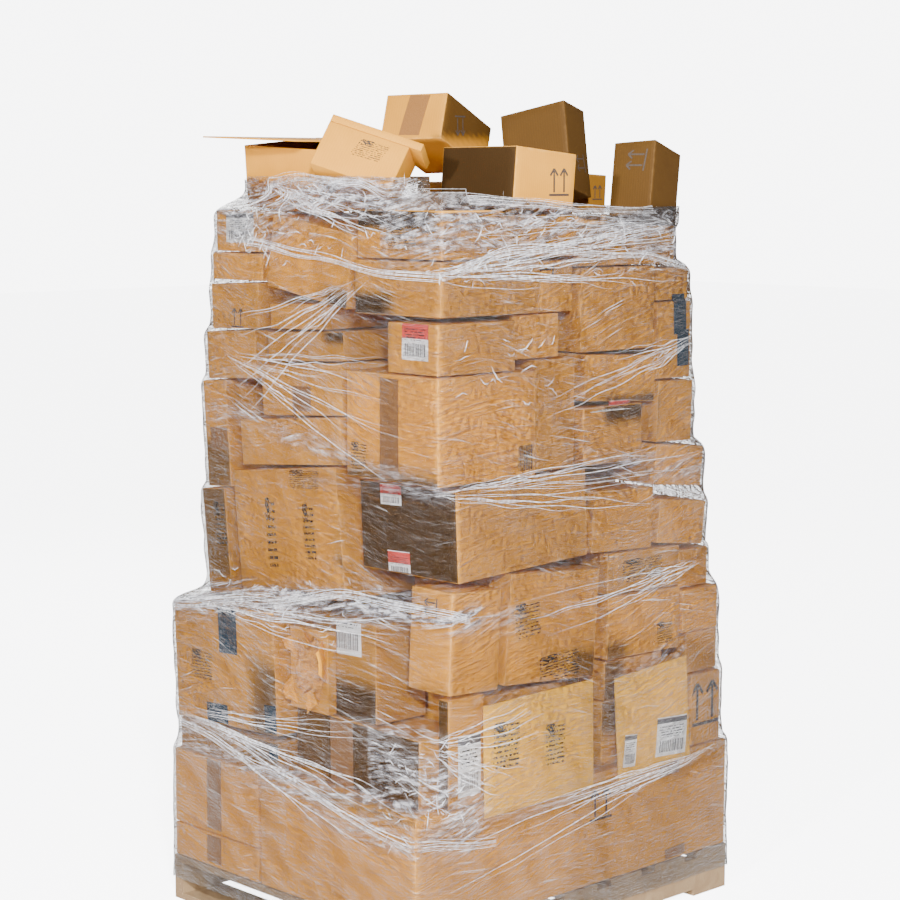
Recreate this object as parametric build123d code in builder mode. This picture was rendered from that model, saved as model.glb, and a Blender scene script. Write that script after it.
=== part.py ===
from build123d import *
import os
from dataclasses import dataclass
from math import ceil, cos, radians, sin

# Shrink wrapped pallet load: a wooden stringer pallet, one large base carton,
# and a heap of mixed shipping cartons and padded mailers held by stretch film.
# All sizes in millimetres. X runs along the front face, Y from front to back, Z up.
# The origin is the middle of the footprint, on the floor.
# In the lists below a place is measured from the near corner of the footprint,
# the one at the low X and low Y end, and a parcel is (width, height, depth, lean).

# Pallet
pallet_length = 1219.0
pallet_width = 1016.0
deck_board_thickness = 19.0
stringer_height = 89.0
stringer_width = 38.0
top_board_width = 127.0
top_board_count = 7
bottom_board_width = 140.0
bottom_board_count = 5
board_edge_radius = 2.0

# Base tier: one large carton, and two flat ones stacked at its far end
base_carton_height = 313.0
base_carton_inset = 1.0
base_split = 628.0
base_upper_height = 215.0

# Board, closures and seats
board_thickness = 4.0
carton_corner_chamfer = 2.0
seam_width = 2.0
seam_depth = 1.5
seat_gap = 0.3
seat_slack = 0.2
side_gap = 6.0

# Rows of cartons
front_row_depth = 375.0
rear_row_depth = 250.0
end_row_depth = 330.0
left_row_inset = 110.0
right_inset = 60.0
rear_inset = 15.0

rear_row_start = 424.0
rear_rows = [310.0, 240.0, 265.0, 215.0, 245.0, 225.0]
rear_widths = [282.0, 296.0]
end_rows = [262.0, 228.0, 290.0, 196.0, 250.0, 270.0]
rear_row_deep = pallet_width - rear_inset - rear_row_depth
rear_last_width = pallet_length - right_inset - rear_row_start - sum(rear_widths) - len(rear_widths) * side_gap
end_row_start = front_row_depth + side_gap
end_row_width = rear_row_deep - side_gap - end_row_start
end_row_deep = pallet_length - right_inset - end_row_depth
core_width = end_row_deep - side_gap - rear_row_start
core_height = sum(rear_rows) + (len(rear_rows) - 1) * seat_gap

# Open carton and torn carton
lid_rise = 5.5
lid_reach = (68.0, 133.0)
folded_flap_length = 70.0
fold_gap = 2.0
lid_height = 20.0
lid_overhang = 32.0
lid_slot = 1.5
tear_depth = 70.0
tear_rim = 14.0
paper_clearance = 0.3
paper_middle = -30.0
paper_proud = 16.0
paper_neck = 3.0
paper_shoulder = 7.0
paper_nose = 22.0

# Mailers
mailer_thickness = 22.0
mailer_stand_off = 24.0
mailer_hang = 36.0
mailer_side_radius = 10.0
mailer_edge_radius = 8.0

# Film
film_thickness = 1.0
film_clearance = 0.4
film_band_gap = 0.4
film_ring_height = 62.0
film_foot = 60.0
film_band_tops = [-50.0, 285.0, 580.0, 825.0, 1120.0, 1260.0, 1410.0, 1530.0]

# Heights that the pieces stand on
deck_top = 2 * deck_board_thickness + stringer_height
base_top = deck_top + base_carton_height
film_levels = [film_foot] + [base_top + top for top in film_band_tops]


@dataclass
class Parcel:
    """A closed carton in its place: along runs with its face, deep runs into the load."""

    node: str
    face: str
    along: float
    deep: float
    width: float
    height: float
    depth: float
    lean: float = 0.0
    bottom: float = 0.0

    @property
    def span(self):
        """Width of the leaning carton, end to end."""
        tilt = radians(abs(self.lean))
        return self.width * cos(tilt) + self.height * sin(tilt)

    @property
    def rise(self):
        """Height of the leaning carton, corner to corner."""
        tilt = radians(abs(self.lean))
        return self.height * cos(tilt) + self.width * sin(tilt)

    @property
    def corners(self):
        """The four corners of the face, as (along, up) pairs."""
        tilt = radians(self.lean)
        middle = (self.along + self.span / 2, self.bottom + self.rise / 2)
        halves = [(-1, -1), (1, -1), (1, 1), (-1, 1)]
        return [
            (
                middle[0] + i * self.width / 2 * cos(tilt) + j * self.height / 2 * sin(tilt),
                middle[1] - i * self.width / 2 * sin(tilt) + j * self.height / 2 * cos(tilt),
            )
            for i, j in halves
        ]

    def edge_height(self, along, upper):
        """Height of the upper or lower outline at a place along the face."""
        ring = self.corners
        heights = []
        for (x0, z0), (x1, z1) in zip(ring, ring[1:] + ring[:1]):
            low, high = min(x0, x1), max(x0, x1)
            if low - 1e-6 <= along <= high + 1e-6 and high - low > 1e-6:
                heights.append(z0 + (z1 - z0) * (along - x0) / (x1 - x0))
        return max(heights) if upper else min(heights)

    @property
    def plan(self):
        """Footprint from the near corner: (x low, x high, y low, y high)."""
        if self.face == "left":
            return (self.deep, self.deep + self.depth, self.along, self.along + self.span)
        return (self.along, self.along + self.span, self.deep, self.deep + self.depth)

    @property
    def top(self):
        return self.bottom + self.rise

    @property
    def plane(self):
        """Plane of the bottom board, its origin at the middle of the bottom."""
        tilt = radians(self.lean)
        up = self.bottom + self.rise / 2 - self.height / 2 * cos(tilt)
        across = self.along + self.span / 2 - self.height / 2 * sin(tilt)
        inward = self.deep + self.depth / 2
        if self.face == "left":
            spot = from_corner(inward, across, up)
            return Plane(spot, x_dir=(0, -cos(tilt), sin(tilt)), z_dir=(0, sin(tilt), cos(tilt)))
        spot = from_corner(across, inward, up)
        return Plane(spot, x_dir=(cos(tilt), 0, -sin(tilt)), z_dir=(sin(tilt), 0, cos(tilt)))


def from_corner(x, y, z):
    """A place measured from the near corner, in the part's own frame."""
    return (x - pallet_length / 2, y - pallet_width / 2, z)


def overlaps(one, other):
    """Whether two footprints share ground."""
    return one[0] < other[1] and other[0] < one[1] and one[2] < other[3] and other[2] < one[3]


heap = []


def landing_height(parcel):
    """Height at which a parcel comes to rest on the base and on what lies under it."""
    parcel.bottom = 0.0
    lift = base_top + seat_gap
    for below in heap:
        if not overlaps(parcel.plan, below.plan):
            continue
        if below.face == parcel.face:
            places = [x for x, _ in parcel.corners + below.corners]
            start = max(parcel.along, below.along)
            end = min(parcel.along + parcel.span, below.along + below.span)
            for place in [start, end] + [x for x in places if start < x < end]:
                gap = below.edge_height(place, True) - parcel.edge_height(place, False)
                lift = max(lift, gap + seat_gap)
        else:
            lift = max(lift, below.top + seat_gap)
    return lift


def set_down(node, face, start, deep, *parcels):
    """Lay parcels side by side along a face, each resting on what is below it."""
    along = start
    for width, height, depth, lean, inset in parcels:
        parcel = Parcel(node, face, along, deep + inset, width, height, depth, lean)
        parcel.bottom = landing_height(parcel)
        heap.append(parcel)
        along += parcel.span + side_gap


@dataclass
class TippedCarton:
    """A loose carton, placed by its near bottom corner and turned about Z, Y and X in degrees."""

    node: str
    place: tuple
    size: tuple
    turns: tuple
    lift: float = 0.0

    @property
    def corner(self):
        """Plane of the bottom board, its origin at the near bottom corner."""
        turn, pitch, roll = self.turns
        spot = from_corner(*self.place, self.lift)
        posed = Location(spot, (roll, pitch, turn), Extrinsic.XYZ)
        return Plane(spot, x_dir=posed.x_axis.direction, z_dir=posed.z_axis.direction)

    @property
    def plane(self):
        """Plane of the bottom board, its origin at the middle of the bottom."""
        width, depth, _ = self.size
        middle = self.corner.from_local_coords((width / 2, depth / 2, 0))
        return Plane(middle, x_dir=self.corner.x_dir, z_dir=self.corner.z_dir)


tipped = []


def block(item):
    """The plain outer block of a carton or mailer in its place."""
    if isinstance(item, TippedCarton):
        return Solid.make_box(*item.size, item.corner)
    plane = item.plane
    corner = plane.from_local_coords((-item.width / 2, -item.depth / 2, 0))
    return Solid.make_box(item.width, item.depth, item.height, Plane(corner, plane.x_dir, plane.z_dir))


def let_down(node, place, size, turns):
    """Lower a loose carton until it all but touches the heap or a carton let down before it."""
    carton_above = TippedCarton(node, place, size, turns)
    bounds = block(carton_above).bounding_box()
    below = []
    for item in heap + tipped:
        solid = block(item)
        under = solid.bounding_box()
        apart_x = under.min.X > bounds.max.X or under.max.X < bounds.min.X
        apart_y = under.min.Y > bounds.max.Y or under.max.Y < bounds.min.Y
        if not (apart_x or apart_y):
            below.append(solid)
    highest = max(solid.bounding_box().max.Z for solid in below)
    below = [solid for solid in below if solid.bounding_box().max.Z > highest - 2 * max(size)]
    carton_above.lift = highest - bounds.min.Z + side_gap
    gap = side_gap
    while gap > seat_gap + seat_slack and carton_above.lift > base_top:
        solid = block(carton_above)
        gap = min(solid.distance_to(other) for other in below)
        carton_above.lift -= max(gap - seat_gap, 0)
    tipped.append(carton_above)


def front(node, start, *parcels):
    set_down(node, "front", start, 0.0, *parcels)


def left(node, start, *parcels):
    set_down(node, "left", start, left_row_inset, *parcels)


# The heap from the base up. After the start of each row come its parcels as
# (width, height, depth, lean, inset), with the lean in degrees.

front("near_corner_tier_1", 115, (130, 290, 42, 0, 2), (385, 268, 340, 0, 34))
left("left_low_cartons", 50, (490, 186, 182, -1, -50))
left("left_low_cartons", pallet_width - 458, (440, 92, 400, 0, -98))
front("front_middle_stack", 710, (330, 184, 340, 0, 24))
front("front_end_stack", pallet_length - 161, (132, 208, 340, 0, 2))
left("left_low_cartons", pallet_width - 468, (448, 338, 400, 2.5, -108))
left("left_low_cartons", 215, (165, 268, 180, 0, -50))
left("torn_carton", 387, (156, 222, 160, 0, -66))
front("front_middle_stack", 712, (240, 112, 320, 0, 16))
front("front_end_stack", pallet_length - 173, (140, 122, 330, 0, 14))
front("near_corner_tier_2", 115, (178, 268, 157, 3, 0), (342, 296, 368, 4.5, 0))
front("front_middle_stack", 704, (300, 176, 350, 1, 0))
front("front_end_stack", pallet_length - 203, (154, 126, 340, 0, 0))
front("front_middle_stack", 706, (298, 116, 340, 1.5, 4))
front("front_end_stack", pallet_length - 207, (130, 112, 330, 0, 16))
left("left_middle_stack", 390, (446, 360, 300, 6.5, 0))
left("left_end_stack", pallet_width - 138, (106, 301, 300, 6, 0))
front("near_corner_tier_3", 138, (480, 238, 369, -2.5, 0))
front("front_middle_stack", 640, (245, 172, 330, 2.5, 0))
front("front_end_stack", pallet_length - 317, (198, 126, 330, 7, 0))
left("left_end_stack", pallet_width - 140, (108, 302, 300, 4, 0))
left("left_middle_stack", 398, (432, 130, 300, 5, 0))
front("near_corner_tier_4", 78, (350, 278, 350, 0, 0), (152, 296, 340, 0, 12))
front("front_middle_stack", 604, (236, 158, 340, 0, 0))
front("front_end_stack", pallet_length - 333, (204, 116, 340, 6, 0))
left("left_middle_stack", 396, (338, 142, 300, 4, 0))
left("left_end_stack", pallet_width - 260, (222, 136, 300, 3.5, 0))
front("front_middle_stack", 604, (286, 128, 350, 3.5, 0))
front("front_end_stack", pallet_length - 319, (150, 172, 330, 2, 4))
front("near_corner_tier_5", 78, (275, 132, 190, 0, 0), (172, 118, 300, 0, 20))
left("left_middle_stack", 390, (320, 82, 300, 3, 0))
left("left_end_stack", pallet_width - 274, (214, 128, 300, 2.5, 0))
left("left_middle_stack", 468, (236, 72, 290, 2, 4))
front("near_corner_tier_6", 88, (352, 142, 327, 0, 0), (124, 136, 300, 0, 8))
front("front_middle_stack", 598, (296, 226, 340, 0, 8))
front("front_end_stack", pallet_length - 315, (142, 214, 340, 0, 8))
front("front_end_stack", pallet_length - 315, (136, 92, 330, 0, 14))
left("left_end_stack", pallet_width - 288, (224, 78, 300, 0, 0))
left("left_middle_stack", 344, (336, 200, 290, -9, -6))
front("near_corner_tier_7", 92, (214, 126, 320, 0, 0), (268, 112, 330, 0, 6))
front("front_middle_stack", 592, (388, 106, 340, 0, 14))
left("left_end_stack", pallet_width - 294, (216, 116, 290, 0, 4))

# The two hidden faces are plain columns of cartons.
for height in rear_rows:
    row = [(width, height, rear_row_depth, 0, 0) for width in rear_widths + [rear_last_width]]
    set_down("rear_stack", "front", rear_row_start, rear_row_deep, *row)
for height in end_rows:
    set_down("end_stack", "left", end_row_start, end_row_deep, (end_row_width, height, end_row_depth, 0, 0))
heap_core = Parcel(
    "hidden_core", "front", rear_row_start, end_row_start, core_width, core_height, end_row_width
)
heap_core.bottom = landing_height(heap_core)
heap.append(heap_core)

# Loose cartons on top, each let down until it touches the heap.
let_down("leaning_top_carton", (428, 91), (228, 285, 163), (-0.6, 5.4, -0.2))
let_down("end_top_carton", (943, 74), (159, 133, 215), (12.6, 15.4, -4.0))
let_down("wrapped_top_carton", (770, 205), (128, 204, 256), (15.8, 12.8, -12.4))
let_down("small_top_carton_1", (935, 300), (80, 120, 112), (2.0, 3.0, 0.0))
let_down("small_top_carton_2", (820, 760), (210, 150, 90), (-18.0, 0.0, 0.0))
let_down("open_top_carton", (158, 531), (252, 347, 168), (-4.0, -5.5, 2.8))
let_down("tilted_lid_carton", (148, 255), (110, 227, 148), (38.0, 25.4, 19.7))
let_down("taped_top_carton", (456, 390), (270, 195, 136), (17.5, 20.0, -1.2))


# The mailers stand on the film that closes round their lower edges.
mailers = [
    Parcel("padded_mailer_wide", "front", 222, -mailer_stand_off, 412, 296, mailer_thickness, -1),
    Parcel("padded_mailer_narrow", "front", 718, -mailer_stand_off, 300, 290, mailer_thickness, -4),
]
for mailer in mailers:
    mailer.bottom = base_top - mailer_hang


struts = []
for item in heap + tipped + mailers:
    for edge in block(item).edges():
        struts.append(sorted((edge @ 0, edge @ 1), key=lambda end: end.Z))


def wrapped_outline(low, high):
    """Corner points, in order, of the film round everything between two heights."""
    points = []
    if low < base_top:
        inset = base_carton_inset if low > deck_top else 0.0
        half_x = pallet_length / 2 - inset
        half_y = pallet_width / 2 - inset
        points += [(i * half_x, j * half_y) for i in (-1, 1) for j in (-1, 1)]
    for start, end in struts:
        if start.Z < high and end.Z > low:
            rise = max(end.Z - start.Z, seat_gap)
            for level in (low, high):
                share = min(max((level - start.Z) / rise, 0), 1)
                spot = start + (end - start) * share
                points.append((round(spot.X, 3), round(spot.Y, 3)))
    points = sorted(set(points))
    ring = []
    for side in (points, points[::-1]):
        chain = []
        for point in side:
            while len(chain) > 1 and turns_right(chain[-2], chain[-1], point):
                chain.pop()
            chain.append(point)
        ring += chain[:-1]
    return ring


def turns_right(start, middle, end):
    """Whether the way from start to end by middle goes straight on or to the right."""
    first = (middle[0] - start[0], middle[1] - start[1])
    second = (end[0] - middle[0], end[1] - middle[1])
    return first[0] * second[1] - first[1] * second[0] <= 1e-6


def board_outline(plane, width, depth):
    """Outline of a carton in plan, with its upright folds taken off a little."""
    with BuildSketch(plane) as outline:
        Rectangle(width, depth)
        chamfer(outline.vertices(), carton_corner_chamfer)
    return outline.sketch


def closure_seam(plane, width, depth, level):
    """Gap where the two closing flaps meet, cut at a height along the longer side."""
    size = (width + 1, seam_width) if width >= depth else (seam_width, depth + 1)
    with BuildSketch(plane.offset(level)) as seam:
        Rectangle(*size)
    extrude(seam.sketch, amount=seam_depth, mode=Mode.SUBTRACT)


def carton(plane, width, depth, height):
    """Closed carton on a plane, with closure seams top and bottom."""
    extrude(board_outline(plane, width, depth), amount=height)
    closure_seam(plane, width, depth, 0.0)
    closure_seam(plane, width, depth, height - seam_depth)


def panel(plane, middle, size):
    """A piece of board: a block joined to the part, with its middle in the plane's own frame."""
    spot = plane.from_local_coords(middle)
    with BuildSketch(Plane(spot, x_dir=plane.x_dir, z_dir=plane.z_dir)) as outline:
        Rectangle(size[0], size[1])
    extrude(outline.sketch, amount=size[2] / 2, both=True)


def open_carton(plane, width, depth, height):
    """Carton with its lid ajar: hinged at the far side, reaching out over the near wall."""
    extrude(board_outline(plane, width, depth), amount=height)
    inside = (width - 2 * board_thickness, depth - 2 * board_thickness)
    with BuildSketch(plane.offset(board_thickness)) as hollow:
        Rectangle(*inside)
    extrude(hollow.sketch, amount=height, mode=Mode.SUBTRACT)
    fold = board_thickness + fold_gap
    drop = height - folded_flap_length / 2
    flap_width = inside[0] - 4 * fold
    for side in (-1, 1):
        flap_y = side * (inside[1] / 2 - fold + board_thickness / 2)
        panel(plane, (0, flap_y, drop), (flap_width, board_thickness, folded_flap_length))
        fold_y = side * (inside[1] / 2 - fold / 2)
        panel(plane, (0, fold_y, height - board_thickness / 2), (flap_width, fold, board_thickness))
    hinge = plane.from_local_coords((width / 2, 0, height))
    lid_plane = Plane(hinge, x_dir=plane.x_dir, z_dir=plane.z_dir).rotated((0, lid_rise, 0))
    with BuildSketch(lid_plane) as lid:
        with BuildLine():
            near_end, far_end = (-width - reach for reach in lid_reach)
            Polyline((0, -depth / 2), (0, depth / 2), (far_end, depth / 2), (near_end, -depth / 2), close=True)
        make_face()
    extrude(lid.sketch, amount=-board_thickness)


def lidded_carton(plane, width, depth, height):
    """Carton under a lid that overhangs its near end, with the slot below the lid's lip."""
    extrude(board_outline(plane, width, depth), amount=height - lid_height)
    lid_middle = plane.from_local_coords((0, -lid_overhang / 2, height - lid_height))
    lid_plane = Plane(lid_middle, x_dir=plane.x_dir, z_dir=plane.z_dir)
    extrude(board_outline(lid_plane, width, depth + lid_overhang), amount=lid_height)
    with BuildSketch(plane.offset(height - lid_height)) as slot:
        Rectangle(width, depth)
        Rectangle(width - 2 * board_thickness, depth - 2 * board_thickness, mode=Mode.SUBTRACT)
    extrude(slot.sketch, amount=-lid_slot, mode=Mode.SUBTRACT)


def tear_outline(plane, width, height, shrink):
    """Ragged outline of the hole torn in a face, narrowed all round by a distance."""
    with BuildSketch(plane) as ragged:
        with BuildLine():
            Polyline(*[(x * width / 2, y * height / 2) for x, y in tear_corners], close=True)
        make_face()
        if shrink:
            offset(amount=-shrink, kind=Kind.INTERSECTION)
    return ragged.sketch


# Corners of the tear, as shares of half the face inside its rim
tear_corners = [
    (-0.95, -0.35), (-0.45, -0.80), (0.10, -0.55), (0.60, -0.95), (0.95, -0.20),
    (0.70, 0.25), (0.90, 0.80), (0.25, 0.95), (-0.15, 0.55), (-0.70, 0.85),
]


os.makedirs("parts", exist_ok=True)
nodes = []


def finish(part, node):
    """Label a finished node and write it."""
    part.label = node
    nodes.append(node)
    export_step(part, f"parts/{node}.step")


# Pallet
stringer_span = pallet_width - stringer_width
for place, name in zip((-0.5, 0.0, 0.5), ("near", "middle", "far")):
    with BuildPart() as stringer:
        with BuildSketch(Plane.XY.offset(deck_board_thickness)):
            with Locations((0, place * stringer_span)):
                Rectangle(pallet_length, stringer_width)
        extrude(amount=stringer_height)
    finish(stringer.part, f"pallet_stringer_{name}")


def deck(board_width, board_count, level):
    """One deck of boards laid across the stringers, its end boards flush."""
    pitch = (pallet_length - board_width) / (board_count - 1)
    with BuildSketch(Plane.XY.offset(level)) as board_outlines:
        with GridLocations(pitch, 0, board_count, 1):
            Rectangle(board_width, pallet_width)
    extrude(board_outlines.sketch, amount=deck_board_thickness)
    along_y = boards.edges().filter_by(Axis.Y)
    fillet(along_y.group_by(Axis.Z)[-1], board_edge_radius)


with BuildPart() as boards:
    deck(bottom_board_width, bottom_board_count, 0.0)
finish(boards.part, "pallet_bottom_boards")

with BuildPart() as boards:
    deck(top_board_width, top_board_count, deck_board_thickness + stringer_height)
finish(boards.part, "pallet_top_boards")

# Base tier
base_length = pallet_length - 2 * base_carton_inset
base_depth = pallet_width - 2 * base_carton_inset
base_lower_height = base_carton_height - base_upper_height - seat_gap
side_depth = base_depth - base_split - side_gap


def base_plane(deep, depth, level):
    """Plane of a carton of the base tier, at a depth behind the front face."""
    middle = -pallet_width / 2 + base_carton_inset + deep + depth / 2
    return Plane((0, middle, deck_top + level))


with BuildPart() as base_carton:
    carton(base_plane(0, base_split, 0), base_length, base_split, base_carton_height)
finish(base_carton.part, "base_carton")

with BuildPart() as base_side_cartons:
    carton(base_plane(base_split + side_gap, side_depth, 0), base_length, side_depth, base_lower_height)
    upper = base_plane(base_split + side_gap, side_depth, base_lower_height + seat_gap)
    carton(upper, base_length, side_depth, base_upper_height)
finish(base_side_cartons.part, "base_side_cartons")

# Stacked cartons
for node in dict.fromkeys(parcel.node for parcel in heap):
    with BuildPart() as stack:
        for parcel in heap:
            if parcel.node == node and node != "torn_carton":
                carton(parcel.plane, parcel.width, parcel.depth, parcel.height)
    if node != "torn_carton":
        finish(stack.part, node)

# Torn carton, with the packing paper that swells out of its side
torn = next(parcel for parcel in heap if parcel.node == "torn_carton")
torn_middle = torn.plane.from_local_coords((0, -torn.depth / 2, torn.height / 2))
torn_face = Plane(torn_middle, x_dir=torn.plane.x_dir, z_dir=-torn.plane.y_dir)
hole = (torn.width - 2 * tear_rim, torn.height - 2 * tear_rim)
with BuildPart() as torn_carton:
    carton(torn.plane, torn.width, torn.depth, torn.height)
    extrude(tear_outline(torn_face, *hole, 0), amount=-tear_depth, mode=Mode.SUBTRACT)
finish(torn_carton.part, "torn_carton")

with BuildPart() as crumpled_paper:
    levels = (-tear_depth + paper_clearance, paper_middle, 0.0, paper_proud)
    for level, shrink in zip(levels, (tear_rim, paper_neck, paper_shoulder, paper_nose)):
        add(tear_outline(torn_face.offset(level), *hole, shrink))
    loft(ruled=True)
finish(crumpled_paper.part, "crumpled_paper")

# Loose cartons on top
builders = {"open_top_carton": open_carton, "tilted_lid_carton": lidded_carton}
for item in tipped:
    with BuildPart() as top_carton:
        builders.get(item.node, carton)(item.plane, *item.size)
    finish(top_carton.part, item.node)

# Padded mailers, slid down between the film and the base carton's front face
for mailer in mailers:
    with BuildPart() as padded_mailer:
        with BuildSketch(mailer.plane):
            RectangleRounded(mailer.width, mailer.depth, mailer_side_radius)
        extrude(amount=mailer.height)
        crosswise = padded_mailer.faces().sort_by(Axis.Z)
        fillet(crosswise[-1].edges() + crosswise[0].edges(), mailer_edge_radius)
    finish(padded_mailer.part, mailer.node)

# Film, closed rings round each height of the load
for number, (low, high) in enumerate(zip(film_levels, film_levels[1:]), start=1):
    count = ceil((high - low) / film_ring_height)
    step = (high - low) / count
    with BuildPart() as film_band:
        for ring in range(count):
            level = low + ring * step
            outline = wrapped_outline(level, level + step)
            with BuildSketch(Plane.XY.offset(level)) as ring_outline:
                with BuildLine():
                    Polyline(*outline, close=True)
                skin = make_face()
                inner = offset(skin, film_clearance, kind=Kind.INTERSECTION, mode=Mode.PRIVATE)
                offset(amount=film_clearance + film_thickness, kind=Kind.INTERSECTION)
                add(inner, mode=Mode.SUBTRACT)
            extrude(ring_outline.sketch, amount=step - film_band_gap)
    finish(film_band.part, f"film_band_{number}")
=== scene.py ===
import math
from contextlib import contextmanager
from functools import lru_cache

import bmesh
import bpy
import numpy as np
from mathutils import Matrix, Vector, noise


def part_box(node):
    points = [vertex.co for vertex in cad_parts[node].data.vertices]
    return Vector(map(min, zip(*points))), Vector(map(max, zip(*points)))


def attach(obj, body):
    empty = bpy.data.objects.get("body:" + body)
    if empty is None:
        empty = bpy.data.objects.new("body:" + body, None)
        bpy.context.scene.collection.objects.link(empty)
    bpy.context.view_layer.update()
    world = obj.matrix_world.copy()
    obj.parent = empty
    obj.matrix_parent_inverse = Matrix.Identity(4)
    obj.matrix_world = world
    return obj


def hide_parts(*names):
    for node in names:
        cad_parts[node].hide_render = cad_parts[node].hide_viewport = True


# Shrink wrapped pallet load: mixed shipping cartons and padded mailers on a
# wooden pallet, under clear stretch film. Metres, in the frame of the solids.

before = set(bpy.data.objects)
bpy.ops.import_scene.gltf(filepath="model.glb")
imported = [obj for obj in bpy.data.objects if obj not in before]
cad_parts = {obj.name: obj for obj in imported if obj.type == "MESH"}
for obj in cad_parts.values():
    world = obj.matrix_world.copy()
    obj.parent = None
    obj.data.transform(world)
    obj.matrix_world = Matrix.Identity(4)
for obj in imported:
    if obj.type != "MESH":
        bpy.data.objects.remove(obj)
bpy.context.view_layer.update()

bl_info = {
    "name": "Shrink wrapped pallet load",
    "version": (1, 0, 0),
    "blender": (4, 5, 0),
    "location": "3D View > Sidebar > Pallet load",
    "description": "Dresses a wrapped pallet of cartons with board, tape, paper and stretch film",
    "category": "Object",
}

BODY = "root"
PALLET_LOW, PALLET_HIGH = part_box("pallet_top_boards")
NEAR = Vector((PALLET_LOW.x, PALLET_LOW.y, 0.0))
MAILERS = ("padded_mailer_wide", "padded_mailer_narrow")
PALLET = [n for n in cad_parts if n.startswith("pallet_")]
FILM = sorted(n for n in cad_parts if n.startswith("film_"))
COPIED = ("open_top_carton", "tilted_lid_carton", "torn_carton")
PAPER = "crumpled_paper"
CARTONS = sorted(set(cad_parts) - {*MAILERS, *PALLET, *FILM})
CLOSED = [n for n in CARTONS if n not in COPIED and n != PAPER]

SEEDS = {"film": 7, "cartons": 11, "open_cartons": 5, "pleats": 23, "patches": 31}
WELD = 1e-5             # corners nearer than this are one
WORN_BAND = 0.012       # how far wear reaches from a carton's edge
CRUSHED_BAND = 0.05     # how far an edge's crushing reaches into the faces
SHADE_FADE = 0.02       # width over which a shaded part of a face begins
FOLD_DEPTH = 0.22       # a fold shows this far back from its face
PLEAT_LIFT = 0.0006     # pleats and ropes stand this far off the film
ROPE_LIFT = 0.001
STRANDS_OF_ROPE = 7
SHEET_CELL = 0.012      # side of one face of a sheet laid on board
SHEET_LIFT = 0.0007     # gap between the sheet and the board
LARGEST_STEP = 0.012    # a sheet is cut where it would span a larger step
FURTHEST_OFF = 0.06     # and where it lies this far off its middle
TAPE_THICK = 0.0004
INK_THICK = 0.0002


def length(name, description, default, **limits):
    return bpy.props.FloatProperty(
        name=name, description=description, default=default, unit="LENGTH", **limits)


def number(name, description, default):
    return bpy.props.FloatProperty(name=name, description=description, default=default)


def angle(name, description, degrees):
    return bpy.props.FloatProperty(
        name=name, description=description, default=math.radians(degrees), unit="ROTATION")


def whole(name, description, default, **limits):
    return bpy.props.IntProperty(name=name, description=description, default=default, **limits)


def colour(name, description, default):
    return bpy.props.FloatVectorProperty(
        name=name, description=description, size=3, subtype="COLOR", default=default, min=0, max=1)


class LoadBoard(bpy.types.PropertyGroup):
    """Sizes and colours of the corrugated board."""

    kraft: colour("Kraft", "Colour of the outer liner", (0.64, 0.275, 0.020))
    corner: length("Corner", "Roundness of a folded edge", 0.0028, min=0.0005)
    bulge: length("Bulge", "How far a packed face swells or sinks", 0.0014)
    inset: length("Inset", "Gap left round each carton", 0.0022)
    cuts: whole("Cuts", "Cuts across each face", 9, min=1, max=20)


class LoadFilm(bpy.types.PropertyGroup):
    """Sizes and colours of the stretch film."""

    haze: colour("Haze", "Colour of film seen in many layers", (0.80, 0.79, 0.84))
    # Painted shade: the colour of the dark sides of the film's creases
    shade: colour("Shade", "Colour of the dark sides of the film's creases", (0.10, 0.095, 0.105))
    # Painted highlight: the colour of the film's whitest pleats, streaks and strands
    glint: colour("Glint", "Colour of the film's whitest pleats", (0.97, 0.97, 0.98))
    stand_off: length("Stand-off", "Mean gap between film and load", 0.0052)
    level_step: length("Level step", "Height of one row of film faces", 0.009)
    around: whole("Around", "Faces in one turn of film", 560, min=90)
    top: length("Top", "Height of the film's top edge on the right", 1.962)
    top_left: length("Top left", "Height of the film's top edge on the left", 2.045)
    bottom: length("Bottom", "Height of the film's lower edge", 0.062)


class LoadStage(bpy.types.PropertyGroup):
    """Floor, light and camera."""

    camera_place: bpy.props.FloatVectorProperty(
        name="Camera", description="Place of the camera", size=3, subtype="TRANSLATION",
        default=(-4.2124, -4.4368, 2.0342), unit="LENGTH")
    camera_tilt: angle("Tilt", "Camera's tilt from straight down", 82.98)
    camera_turn: angle("Turn", "Camera's turn about the upright", -43.45)
    lens: number("Lens", "Focal length on a 36 mm sensor, in millimetres", 87.68)
    backdrop: colour("Backdrop", "Colour of floor and backdrop", (0.90, 0.90, 0.915))
    glow: number("Glow", "Brightness of the backdrop as the camera sees it", 8.0)
    daylight: number("Daylight", "Brightness of the backdrop as the load sees it", 0.17)


def settings():
    """The three property groups of the scene."""
    scene = bpy.context.scene
    return scene.load_board, scene.load_film, scene.load_stage


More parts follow.
